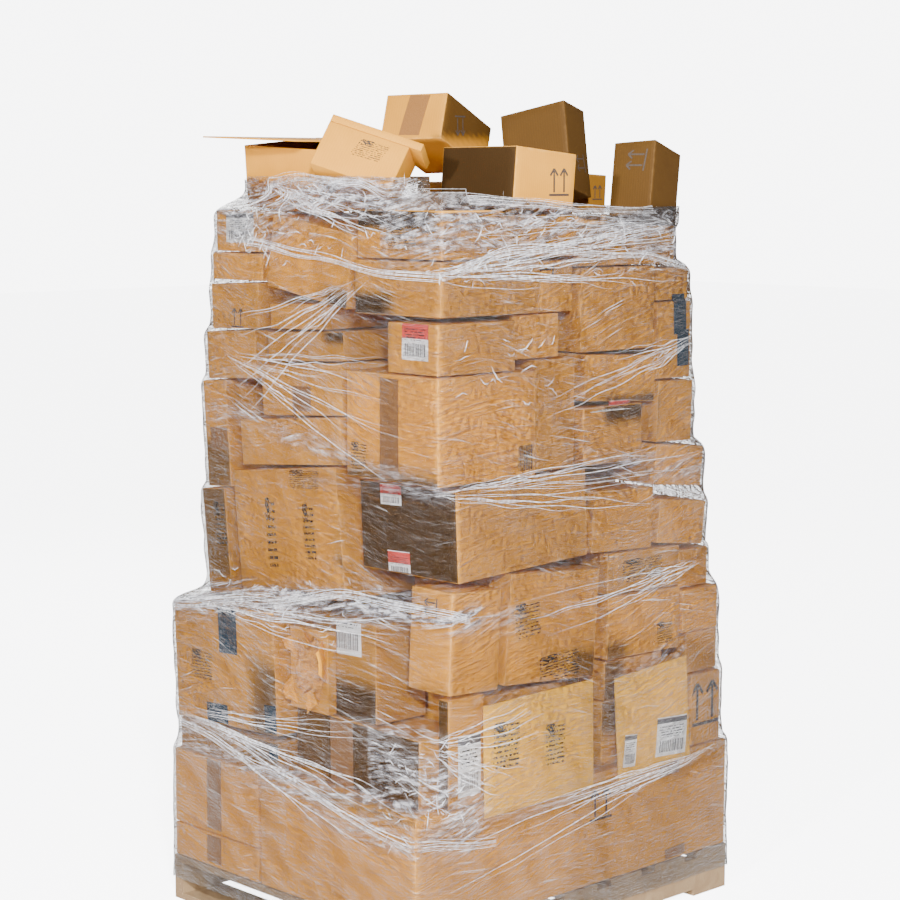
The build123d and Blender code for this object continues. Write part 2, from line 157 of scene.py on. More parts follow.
class Graph:
    """A node tree that is written one node at a time."""

    def __init__(self, tree):
        self.nodes, self.links = tree.nodes, tree.links

    @classmethod
    def of_material(cls, name):
        """The empty tree of a new material."""
        material = bpy.data.materials.new(name)
        material.use_nodes = True
        material.node_tree.nodes.clear()
        graph = cls(material.node_tree)
        graph.material = material
        return graph

    def put(self, socket, value):
        """Link a socket to an input, or set the input to a number or a colour."""
        if isinstance(value, bpy.types.NodeSocket):
            self.links.new(value, socket)
        elif isinstance(value, (int, float)):
            socket.default_value = value
        else:
            room = len(socket.default_value)
            socket.default_value = (*value, 1)[:room] if len(value) < room else tuple(value)

    def add(self, kind, *feeds, out=0, **values):
        """Add a node, feed its first inputs in order, set its fields and other inputs by name."""
        made = self.nodes.new(f"ShaderNode{kind}")
        made.location = (180 * len(self.nodes), -60 * (len(self.nodes) % 5))
        for key, value in values.items():
            if hasattr(made, key):
                setattr(made, key, value)
            else:
                self.put(made.inputs[key.replace("_", " ")], value)
        for socket, value in zip(made.inputs, feeds):
            self.put(socket, value)
        return made.outputs[out]

    def maths(self, operation, *values, clamp=False):
        return self.add("Math", *values, operation=operation, use_clamp=clamp)

    def times(self, one, other, clamp=False):
        return self.maths("MULTIPLY", one, other, clamp=clamp)

    def plus(self, one, other, clamp=False):
        return self.maths("ADD", one, other, clamp=clamp)

    def scaled(self, value, factor, shift):
        return self.maths("MULTIPLY_ADD", value, factor, shift)

    def noise(self, vector, scale, detail, **values):
        return self.add("TexNoise", vector, Scale=scale, Detail=detail, **values)

    def ramp(self, factor, *stops):
        """Straight ramp through stops given as (place, grey or colour)."""
        socket = self.add("ValToRGB", factor)
        elements = socket.node.color_ramp.elements
        for element, (place, value) in zip(elements, stops):
            element.position = place
            shade = (value,) * 3 if isinstance(value, (int, float)) else value
            element.color = (*shade, 1)
        return socket

    def mix(self, factor, one, other, blend="MIX"):
        made = self.add("Mix", data_type="RGBA", blend_type=blend, out=2).node
        for index, value in ((0, factor), (6, one), (7, other)):
            self.put(made.inputs[index], value)
        return made.outputs[2]

    def stretched(self, vector, scale, turn=0.0):
        return self.add("Mapping", vector, Scale=scale, Rotation=(0, 0, math.radians(turn)))

    def bump(self, height, strength, distance):
        return self.add("Bump", Height=height, Strength=strength, Distance=distance)

    def clear_mix(self, cover, shader):
        """A shader that covers clear air by a share."""
        return self.add("MixShader", cover, self.add("BsdfTransparent"), shader)

    def principled(self, colour, roughness, **values):
        return self.add("BsdfPrincipled", Base_Color=colour, Roughness=roughness, **values)

    def finish(self, shader):
        """Put a shader on the surface of the material, and give back the material."""
        made = self.nodes.new("ShaderNodeOutputMaterial")
        made.location = (180 * len(self.nodes), 0)
        self.links.new(shader, made.inputs[0])
        return self.material

    def fibres(self, vector, colour, tint=1.0, flutes=1.0):
        """Kraft fibres in a colour: sockets for colour, roughness and height."""
        made = self.nodes.new("ShaderNodeGroup")
        made.node_tree = fibre_group()
        for socket, value in zip(made.inputs, (vector, colour, tint, flutes)):
            self.put(socket, value)
        return made.outputs["Colour"], made.outputs["Roughness"], made.outputs["Height"]


WARM_BLOTCH = (0.53, 0.255, 0.030)
WORN_EDGE = (0.78, 0.42, 0.13)
PACKING_KRAFT = (0.66, 0.30, 0.06)
MAILER_KRAFT = (0.95, 0.50, 0.020)
LABEL_WHITE = (0.84, 0.84, 0.85)
LABEL_INK = (0.035, 0.035, 0.04)
PRINT_INK = (0.05, 0.035, 0.025)


def fibre_group():
    """Paper fibres, flute lines and blotches of kraft board, as a colour, a roughness and a height."""
    if "kraft fibres" in bpy.data.node_groups:
        return bpy.data.node_groups["kraft fibres"]
    tree = bpy.data.node_groups.new("kraft fibres", "ShaderNodeTree")
    for name, way, kind in (
            ("Vector", "INPUT", "Vector"), ("Colour", "INPUT", "Color"), ("Tint", "INPUT", "Float"),
            ("Flutes", "INPUT", "Float"), ("Colour", "OUTPUT", "Color"), ("Roughness", "OUTPUT", "Float"),
            ("Height", "OUTPUT", "Float")):
        tree.interface.new_socket(name, in_out=way, socket_type=f"NodeSocket{kind}")
    graph = Graph(tree)
    enter, leave = graph.nodes.new("NodeGroupInput").outputs, graph.nodes.new("NodeGroupOutput").inputs
    fibres = graph.noise(graph.stretched(enter["Vector"], (260, 1400, 260)), 1.0, 3.0, Roughness=0.6)
    specks = graph.noise(enter["Vector"], 420.0, 2.0)
    blotch = graph.noise(enter["Vector"], 5.0, 4.0, Roughness=0.55)
    waves = graph.add("TexWave", enter["Vector"], out="Fac", wave_type="BANDS", bands_direction="X",
                      Scale=42.0, Distortion=0.4, Detail=1.0)
    ribs = graph.times(waves, enter["Flutes"])
    shade = graph.times(graph.scaled(blotch, 0.55, 0.72), graph.scaled(fibres, 0.30, 0.85))
    shade = graph.times(shade, graph.scaled(ribs, 0.05, 0.975))
    # The third input darkens the colour: each carton's own tone, times painted shade where a face stands
    # back
    shade = graph.times(shade, enter["Tint"])
    warmed = graph.mix(graph.ramp(blotch, (0.35, 0.0), (0.75, 0.35)), enter["Colour"], WARM_BLOTCH)
    grey = graph.add("CombineColor", shade, shade, shade)
    graph.put(leave["Colour"], graph.mix(1.0, warmed, grey, "MULTIPLY"))
    graph.put(leave["Roughness"], graph.scaled(specks, 0.3, 0.55))
    graph.put(leave["Height"], graph.plus(fibres, ribs))
    return tree


def board_material():
    """Kraft board whose tone differs from carton to carton, darkened by painted shade where a face stands
    back, and pales where its edges are worn.
    """
    graph = Graph.of_material("kraft_board")
    uv = graph.add("UVMap", uv_map="board")
    # Each carton's own tone times painted shade, from a vertex attribute
    tint = graph.add("Attribute", out="Fac", attribute_name="tint")
    edge = graph.add("Attribute", out="Fac", attribute_name="edge")
    colour, roughness, height = graph.fibres(uv, settings()[0].kraft, tint)
    worn = graph.ramp(graph.times(edge, graph.noise(uv, 55.0, 4.0)), (0.30, 0.0), (0.62, 1.0))
    worn = graph.times(graph.times(worn, 0.6), tint, clamp=True)
    return graph.finish(graph.principled(
        graph.mix(worn, colour, WORN_EDGE), roughness, Specular_IOR_Level=0.25,
        Normal=graph.bump(height, 0.25, 0.0006)))


# Streaks of the film: turn in degrees, stretch along and across, and the reach of noise that shows
STREAKS = {
    "hair": (3, (4.0, 380.0, 1.0), 0.55, 0.72),
    "rising": (-11, (4.5, 150.0, 1.0), 0.60, 0.74),
    "falling": (13, (4.0, 130.0, 1.0), 0.60, 0.74),
    "broad": (-3, (2.6, 46.0, 1.0), 0.56, 0.76),
}


def film_material():
    """Clear film that whitens along its pulled streaks and folds and flashes on its crinkles, with painted
    shade on the dark sides of its creases and a painted highlight on its whitest streaks.
    """
    film = settings()[1]
    graph = Graph.of_material("stretch_film")
    uv = graph.add("UVMap", uv_map="film")
    gather = graph.add("Attribute", out="Fac", attribute_name="gather")
    bend = graph.noise(uv, 1.6, 1.0)
    swing = graph.add("VectorMath", bend.node.outputs["Color"], (0.0, 0.22, 0.0), uv,
                      operation="MULTIPLY_ADD")
    raw, peaks = {}, {}
    for name, (turn, scale, low, high) in STREAKS.items():
        slanted = graph.stretched(swing, (1, 1, 1), turn)
        raw[name] = graph.noise(graph.stretched(slanted, scale), 1.0, 3.0, Roughness=0.62)
        peaks[name] = graph.ramp(raw[name], (low, 0.0), (high, 1.0))
    patches = graph.ramp(graph.noise(uv, 2.7, 4.0, Roughness=0.6), (0.44, 0.0), (0.62, 1.0))
    slants = graph.plus(graph.times(peaks["rising"], patches),
                        graph.times(peaks["falling"], graph.maths("SUBTRACT", 1.0, patches)))

    patchy = graph.ramp(bend, (0.36, 0.25), (0.60, 1.0))
    lines = graph.plus(graph.times(slants, 0.80), graph.times(peaks["hair"], 0.42))
    lines = graph.plus(lines, graph.times(peaks["broad"], 0.12))
    lines = graph.times(lines, graph.plus(patchy, gather, clamp=True))
    folded = graph.plus(graph.scaled(raw["broad"], 3.2, -1.42),
                        graph.scaled(raw["rising"], 3.0, -1.26), clamp=True)
    cover = graph.plus(graph.plus(lines, graph.times(folded, gather)), 0.01, clamp=True)

    crinkle = graph.add("TexVoronoi", swing, feature="DISTANCE_TO_EDGE", Scale=34.0)
    height = graph.plus(graph.plus(raw["rising"], raw["falling"]), raw["broad"])
    height = graph.plus(height, graph.times(crinkle, 0.7))
    normal = graph.bump(graph.plus(height, graph.times(raw["hair"], 0.35)), 1.0, 0.010)

    creases = graph.noise(graph.stretched(swing, (26.0, 84.0, 1.0)), 1.0, 4.0, Roughness=0.65)
    # Painted shade: the dark sides of the creases take the shade colour
    grey = graph.mix(graph.ramp(creases, (0.44, 0.0), (0.60, 1.0)), film.shade, film.haze)
    # Painted highlight: the slanted streaks run up to the glint colour, over the film's milky haze
    haze = graph.principled(graph.mix(slants, grey, film.glint), 0.24, Specular_IOR_Level=0.9, Normal=normal)
    gloss = graph.add("BsdfGlossy", Roughness=0.11, Normal=normal)
    fresnel = graph.add("Fresnel", IOR=1.33, Normal=normal)
    return graph.finish(graph.add("MixShader", fresnel, graph.clear_mix(cover, haze), gloss))


def strand_material():
    """Film rolled into ropes and pleats: milky, with patches of painted highlight, glossy and half clear."""
    film = settings()[1]
    graph = Graph.of_material("film_strands")
    texture = graph.noise(graph.add("TexCoord", out="Object"), 95.0, 3.0)
    cover = graph.ramp(texture, (0.30, 0.18), (0.68, 0.92))
    # Painted highlight: the milky colour runs up to the glint colour by a noise
    haze = graph.principled(graph.mix(texture, film.haze, film.glint), 0.18, Specular_IOR_Level=1.0,
                            Normal=graph.bump(texture, 0.7, 0.004))
    return graph.finish(graph.clear_mix(cover, haze))


def tape_material(name, colour, roughness, thread):
    """Closure tape with its threads, lifted a little in blisters."""
    graph = Graph.of_material(name)
    uv = graph.add("UVMap", uv_map="patch")
    threads = graph.add("TexChecker", graph.stretched(uv, (1, 1, 1), 45), out="Fac", Scale=90.0)
    blister = graph.noise(uv, 26.0, 3.0)
    paler = tuple(min(1.0, channel * 1.6 + 0.02) for channel in colour)
    woven = graph.mix(graph.times(threads, thread), colour, paler)
    tone = graph.mix(graph.ramp(blister, (0.35, 0.0), (0.75, 0.45)), woven, paler)
    return graph.finish(graph.principled(tone, roughness, Normal=graph.bump(blister, 0.5, 0.002)))


def label_material(name, stripe, stripe_from=0.84):
    """Paper label with plain bars, short grey rules and a coloured stripe."""
    graph = Graph.of_material(name)
    uv = graph.add("UVMap", uv_map="patch")
    u, v = graph.add("SeparateXYZ", uv).node.outputs[:2]

    def between(value, low, high):
        return graph.times(graph.maths("GREATER_THAN", value, low), graph.maths("LESS_THAN", value, high))

    bars = graph.add("TexNoise", noise_dimensions="1D", W=u, Scale=34.0, Detail=1.0)
    code = graph.times(graph.times(between(v, 0.10, 0.40), between(u, 0.10, 0.90)),
                       graph.maths("GREATER_THAN", bars, 0.5))
    rule = graph.maths("LESS_THAN", graph.maths("FRACT", graph.times(v, 15.0)), 0.42)
    word = graph.maths("GREATER_THAN", graph.noise(uv, 17.0, 0.0), 0.46)
    text = graph.times(between(v, 0.48, 0.78), between(u, 0.08, 0.88))
    text = graph.times(graph.times(text, rule), word)
    paper = graph.mix(between(v, stripe_from, 0.97), LABEL_WHITE, stripe)
    tone = graph.mix(graph.plus(code, text, clamp=True), paper, LABEL_INK)
    return graph.finish(graph.principled(tone, graph.scaled(graph.noise(uv, 40.0, 3.0), 0.3, 0.3)))


def print_material():
    """Small plain print on bare board: short rules and a square code, clear in between."""
    graph = Graph.of_material("small_print")
    uv = graph.add("UVMap", uv_map="patch")
    u, v = graph.add("SeparateXYZ", uv).node.outputs[:2]
    rule = graph.maths("LESS_THAN", graph.maths("FRACT", graph.times(v, 9.0)), 0.38)
    word = graph.maths("GREATER_THAN", graph.noise(uv, 13.0, 1.0), 0.49)
    code = graph.times(graph.maths("GREATER_THAN", v, 0.70), graph.maths("LESS_THAN", u, 0.45))
    grid = graph.add("VectorMath", uv, (0.04, 0.03, 1.0), operation="SNAP")
    cell = graph.add("TexWhiteNoise", grid, out="Value", noise_dimensions="2D")
    cell = graph.maths("GREATER_THAN", cell, 0.5)
    mask = graph.plus(graph.times(graph.times(rule, word), graph.maths("SUBTRACT", 1.0, code)),
                      graph.times(code, cell), clamp=True)
    return graph.finish(graph.clear_mix(graph.times(mask, 0.8), graph.principled(PRINT_INK, 0.6)))


def ink_material():
    """Dark flexo ink, thin enough for the board's fibres to show as pale specks."""
    graph = Graph.of_material("printed_ink")
    specks = graph.noise(graph.add("TexCoord", out="Object"), 900.0, 2.0)
    tone = graph.ramp(specks, (0.45, (0.035, 0.03, 0.028)), (0.8, (0.16, 0.10, 0.06)))
    return graph.finish(graph.principled(tone, 0.6))


def kraft_paper(graph, coordinates, colour, crease, strength, distance):
    """Kraft paper without flutes, raised by a crease pattern."""
    colour, roughness, _ = graph.fibres(coordinates, colour, 1.0, 0.0)
    return graph.finish(graph.principled(colour, roughness, Normal=graph.bump(crease, strength, distance)))


def paper_material():
    """Soft kraft packing paper, creased all over."""
    graph = Graph.of_material("packing_paper")
    coordinates = graph.add("TexCoord", out="Object")
    crease = graph.add("TexVoronoi", coordinates, feature="DISTANCE_TO_EDGE", Scale=55.0)
    return kraft_paper(graph, coordinates, PACKING_KRAFT, crease, 1.0, 0.006)


def mailer_material():
    """Golden kraft paper with soft padding dimples."""
    graph = Graph.of_material("mailer_paper")
    coordinates = graph.add("TexCoord", out="Object")
    return kraft_paper(graph, coordinates, MAILER_KRAFT, graph.noise(coordinates, 38.0, 4.0), 0.5, 0.004)


def wood_material():
    """Sawn softwood with long grain and grey weathering."""
    graph = Graph.of_material("pallet_wood")
    place = graph.stretched(graph.add("TexCoord", out="Object"), (14, 14, 14))
    grain = graph.noise(place, 1.0, 5.0, Distortion=1.5)
    rings = graph.add("TexWave", place, out="Fac", Scale=6.0, Distortion=6.0, Detail=3.0)
    tone = graph.ramp(graph.times(grain, rings), (0.2, (0.24, 0.15, 0.075)), (0.8, (0.50, 0.36, 0.20)))
    return graph.finish(graph.principled(tone, 0.75, Normal=graph.bump(grain, 0.6, 0.002)))


# Mesh helpers

def deselect():
    bpy.ops.object.select_all(action="DESELECT")


def only(obj):
    """Make one object the selected and active one."""
    deselect()
    obj.select_set(True)
    bpy.context.view_layer.objects.active = obj


@contextmanager
def editing(obj):
    """Edit mode on one object, with all of it selected."""
    only(obj)
    bpy.ops.object.mode_set(mode="EDIT")
    bpy.ops.mesh.select_all(action="SELECT")
    yield
    bpy.ops.object.mode_set(mode="OBJECT")


def new_cube(name, size):
    """A box round the origin."""
    deselect()
    bpy.ops.mesh.primitive_cube_add(size=1)
    bpy.context.object.name = name
    bpy.context.object.data.transform(Matrix.Diagonal((*size, 1)))
    return bpy.context.object


def new_grid(columns, rows):
    """A square sheet of side one."""
    deselect()
    bpy.ops.mesh.primitive_grid_add(x_subdivisions=columns, y_subdivisions=rows, size=1)
    return bpy.context.object


def smooth(obj, degrees):
    only(obj)
    bpy.ops.object.shade_smooth_by_angle(angle=math.radians(degrees))


def loose_solids(cad):
    """The oriented boxes of a node's separate solids: centre, axes and size of each."""
    mesh = bmesh.new()
    mesh.from_mesh(cad.data)
    bmesh.ops.remove_doubles(mesh, verts=mesh.verts, dist=WELD)
    boxes = []
    unseen = set(mesh.verts)
    while unseen:
        start = unseen.pop()
        island, edge_of = {start}, [start]
        while edge_of:
            for edge in edge_of.pop().link_edges:
                for vert in edge.verts:
                    if vert in unseen:
                        unseen.discard(vert)
                        island.add(vert)
                        edge_of.append(vert)
        faces = {face for vert in island for face in vert.link_faces}
        areas = {}
        for face in faces:
            key = tuple(round(abs(c), 2) for c in face.normal)
            areas.setdefault(key, [0.0, face.normal.copy()])
            areas[key][0] += face.calc_area()
        ranked = [normal for _, normal in sorted(areas.values(), key=lambda pair: -pair[0])]
        first = ranked[0]
        second = next(n for n in ranked if abs(n.dot(first)) < 0.05)
        third = first.cross(second)
        axes = sorted((first, second, third), key=lambda n: abs(n.z))
        up = axes[2] * (1 if axes[2].z > 0 else -1)
        along = max(axes[:2], key=lambda n: abs(n.x))
        along = (along - up * along.dot(up)).normalized() * (1 if along.x > 0 else -1)
        across = up.cross(along)
        turn = Matrix((along, across, up))
        points = np.array([turn @ vert.co for vert in island])
        low, high = Vector(points.min(0)), Vector(points.max(0))
        boxes.append((turn.transposed() @ ((low + high) / 2), turn.transposed(), high - low))
    mesh.free()
    boxes.sort(key=lambda box: tuple(round(c, 4) for c in box[0]))
    return boxes


def shadow_at(point, facing):
    """Painted shade: how much darker the board's colour is drawn at a place that stands back behind its
    neighbours.
    """
    shadow = 1.0
    for face, along, level, depth, factor in SHADES:
        away, across = (0, 1) if face == "left" else (1, 0)
        if facing[away] > -0.8:
            continue
        place, behind = point[across] - NEAR[across], point[away] - NEAR[away]
        inside = min(place - along[0], along[1] - place, point.z - level[0], level[1] - point.z,
                     depth - behind)
        shadow = min(shadow, 1 - (1 - factor) * min(1.0, max(0.0, inside / SHADE_FADE)))
    return shadow


def model_carton(name, centre, turn, size, rng, shade_of_board):
    """One carton, from a cube cut into a grid, with its folded edges bevelled and its faces swollen."""
    board = settings()[0]
    size = size - Vector((2, 2, 2)) * board.inset
    half = size / 2
    obj = new_cube(name, size)
    with editing(obj):
        bpy.ops.mesh.subdivide(number_cuts=board.cuts)
        shape = bmesh.from_edit_mesh(obj.data)
        for element in (*shape.verts, *shape.edges, *shape.faces):
            element.select = False
        for edge in shape.edges:
            middle = (edge.verts[0].co + edge.verts[1].co) / 2
            edge.select = sum(abs(abs(middle[i]) - half[i]) < 1e-6 for i in range(3)) == 2
        bmesh.update_edit_mesh(obj.data)
        bpy.ops.mesh.bevel(offset=board.corner, segments=2, affect="EDGES")
        swell_faces(bmesh.from_edit_mesh(obj.data), half, centre, turn, rng, shade_of_board)
        bmesh.update_edit_mesh(obj.data)
    board_uv(obj, rng)
    obj.data.transform(Matrix.Translation(centre) @ turn.to_4x4())
    smooth(obj, 40)
    return obj


def swell_faces(shape, half, centre, turn, rng, shade_of_board):
    """Push a carton's faces in and out, crush its edges, and note at each corner its wear and its tone times
    painted shade.
    """
    bulge = settings()[0].bulge
    swell = [rng.uniform(-0.7, 1.0) * bulge for _ in range(6)]
    seed = Vector([rng.uniform(0, 90) for _ in range(3)])
    crush = rng.uniform(0.3, 1.0) * bulge
    wear = shape.verts.layers.float.new("edge")
    shade = shape.verts.layers.float.new("tint")
    # The carton's own tone; painted shade is multiplied into it below
    tint = rng.uniform(0.82, 1.14) * shade_of_board
    for vert in shape.verts:
        share = [abs(vert.co[i]) / half[i] for i in range(3)]
        place = vert.co.copy()
        near_edge = sorted(half[i] - abs(place[i]) for i in range(3))[1]
        vert[wear] = max(0.0, 1.0 - near_edge / WORN_BAND)
        # Painted shade: faces that stand back behind their neighbours are drawn darker
        vert[shade] = tint * shadow_at(centre + turn @ vert.co, turn @ vert.normal)
        for i in range(3):
            if share[i] > 0.999:
                j, k = (i + 1) % 3, (i + 2) % 3
                dome = max(0.0, 1 - share[j] ** 2) * max(0.0, 1 - share[k] ** 2)
                face = i * 2 + (place[i] > 0)
                wave = math.sin(place[j] * 21 + seed[i]) * math.sin(place[k] * 17 + seed[j])
                push = swell[face] * dome + crush * 0.5 * wave * dome
                vert.co[i] += math.copysign(push, place[i])
        corner = max(0.0, 1 - near_edge / CRUSHED_BAND)
        wobble = sum(math.sin(place[i] * rate + seed[i]) for i, rate in enumerate((19, 23, 17)))
        vert.co -= place.normalized() * corner * crush * 0.25 * (wobble + 1.6)


def board_uv(obj, rng, turn=Matrix.Identity(3)):
    """UV map in metres, with flutes upright on the sides and a place of its own for each carton."""
    layer = obj.data.uv_layers.new(name="board")
    shift = Vector((rng.uniform(0, 40), rng.uniform(0, 40)))
    level = turn.transposed()
    for polygon in obj.data.polygons:
        normal = level @ polygon.normal
        i = max(range(3), key=lambda axis: abs(normal[axis]))
        u, v = ((1, 2), (0, 2), (0, 1))[i]
        for loop in polygon.loop_indices:
            place = level @ obj.data.vertices[obj.data.loops[loop].vertex_index].co
            layer.data[loop].uv = (place[u] + shift.x + i, place[v] + shift.y)


def shade_board(obj, rng, tint=None):
    """Give a carton that isn't modelled from a cube the attributes that the board reads."""
    shade = obj.data.attributes.new("tint", "FLOAT", "POINT")
    value = rng.uniform(0.9, 1.1) if tint is None else tint
    shade.data.foreach_set("value", [value] * len(obj.data.vertices))
    obj.data.attributes.new("edge", "FLOAT", "POINT")


def apply(obj, kind, **values):
    """Add a modifier, set its values and apply it."""
    only(obj)
    modifier = obj.modifiers.new(kind.lower(), kind)
    for key, value in values.items():
        setattr(modifier, key, value)
    bpy.ops.object.modifier_apply(modifier=modifier.name)


def copy_solid(name):
    """A merged copy of a node's mesh, its flat faces whole again."""
    obj = bpy.data.objects.new(name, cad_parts[name].data.copy())
    bpy.context.scene.collection.objects.link(obj)
    with editing(obj):
        bpy.ops.mesh.remove_doubles(threshold=WELD)
        bpy.ops.mesh.dissolve_limited(angle_limit=math.radians(1))
    return obj


def join(pieces, name):
    deselect()
    for piece in pieces:
        piece.select_set(True)
    bpy.context.view_layer.objects.active = pieces[0]
    if len(pieces) > 1:
        bpy.ops.object.join()
    joined = bpy.context.object
    joined.name = name
    joined.data.name = name
    return joined


def finish_piece(obj, material, slot=None, *replaced):
    """Give a finished piece its material and body, and hide the nodes that it stands for; the slot is not
    used.
    """
    obj.data.materials.clear()
    obj.data.materials.append(material)
    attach(obj, BODY)
    if replaced:
        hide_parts(*replaced)
    return obj


# Film outline

def section_points(low, high):
    """Every carton and mailer edge between two heights, as points on the ground plan."""
    found = []
    for name in CARTONS + list(MAILERS):
        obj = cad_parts[name]
        places = np.empty(len(obj.data.vertices) * 3)
        obj.data.vertices.foreach_get("co", places)
        places = places.reshape(-1, 3)
        if places[:, 2].max() < low or places[:, 2].min() > high:
            continue
        ends = np.empty(len(obj.data.edges) * 2, int)
        obj.data.edges.foreach_get("vertices", ends)
        start, end = places[ends[0::2]], places[ends[1::2]]
        swap = start[:, 2] > end[:, 2]
        start[swap], end[swap] = end[swap], start[swap].copy()
        crossing = (start[:, 2] <= high) & (end[:, 2] >= low)
        start, end = start[crossing], end[crossing]
        rise = np.maximum(end[:, 2] - start[:, 2], 1e-9)
        for level in (low, high):
            share = np.clip((level - start[:, 2]) / rise, 0, 1)[:, None]
            found.append((start + (end - start) * share)[:, :2])
    return np.vstack(found) if found else np.empty((0, 2))


def hull_ring(points):
    """Convex outline of points on the plan, anticlockwise."""
    points = sorted(set(map(tuple, np.round(points, 5))))
    ring = []
    for side in (points, points[::-1]):
        chain = []
        for p in side:
            while len(chain) > 1:
                (ax, ay), (bx, by) = chain[-2], chain[-1]
                if (bx - ax) * (p[1] - by) - (by - ay) * (p[0] - bx) > 0:
                    break
                chain.pop()
            chain.append(p)
        ring += chain[:-1]
    return np.array(ring)


def reach(ring, angles):
    """Distance from the upright through the origin to a convex outline, at each angle."""
    ways = np.stack((np.cos(angles), np.sin(angles)), 1)
    best = np.full(len(angles), 9.0)
    for (ax, ay), (bx, by) in zip(ring, np.roll(ring, -1, 0)):
        out = np.array((by - ay, ax - bx))
        facing = ways @ out
        hit = np.where(facing > 1e-9, (ax * out[0] + ay * out[1]) / np.maximum(facing, 1e-9), 9.0)
        best = np.minimum(best, np.where(hit > 0, hit, 9.0))
    return best


def smooth_rows(rows, reach_rows, window):
    """Widen each column to its largest neighbour and soften it, as film drawn over steps does."""
    count = len(rows)
    wide = np.array([rows[max(0, i - reach_rows):i + reach_rows + 1].max(0) for i in range(count)])
    weights = np.exp(-0.5 * (np.arange(-window, window + 1) / (window / 2.2)) ** 2)
    weights /= weights.sum()
    padded = np.vstack((np.repeat(wide[:1], window, 0), wide, np.repeat(wide[-1:], window, 0)))
    return np.array([(padded[i:i + 2 * window + 1] * weights[:, None]).sum(0) for i in range(count)])


# Where the film is gathered: face, start and end of the fold's middle line as
# (along, height) from the near corner, half its width, and its strength.
FOLDS = (
    ("left", (0.90, 1.99), (0.00, 2.01), 0.045, 0.75),
    ("front", (0.00, 1.99), (0.50, 1.94), 0.045, 0.60),
    ("front", (0.06, 1.90), (1.05, 1.87), 0.060, 0.62),
    ("left", (0.90, 1.91), (0.62, 1.90), 0.050, 0.35),
    ("left", (1.00, 0.86), (0.27, 0.955), 0.032, 0.80),
    ("left", (0.27, 0.95), (0.00, 0.94), 0.028, 0.60),
    ("front", (0.00, 0.94), (0.35, 0.91), 0.030, 0.40),
    ("left", (1.03, 0.51), (0.00, 0.37), 0.045, 0.50),
    ("front", (0.00, 0.60), (0.17, 0.42), 0.060, 0.60),
    ("front", (0.55, 1.30), (1.15, 1.22), 0.030, 0.40),
    ("left", (0.95, 1.42), (0.10, 1.28), 0.026, 0.35),
)

# The film's top edge: places along each face from the near corner, and its height there
# as a share of the way from its lowest to its highest place
TOP_LEFT = ((0.0, 0.75), (0.30, 1.0), (0.85, 1.0), (1.016, 0.2))
TOP_FRONT = ((0.0, 0.75), (0.42, 0.35), (0.62, 0.0), (1.219, 0.0))


def face_point(face, along, out=0.0):
    """A place on the plan, along one of the two seen faces from the near corner."""
    if face == "left":
        return NEAR.x - out, NEAR.y + along
    return NEAR.x + along, NEAR.y - out


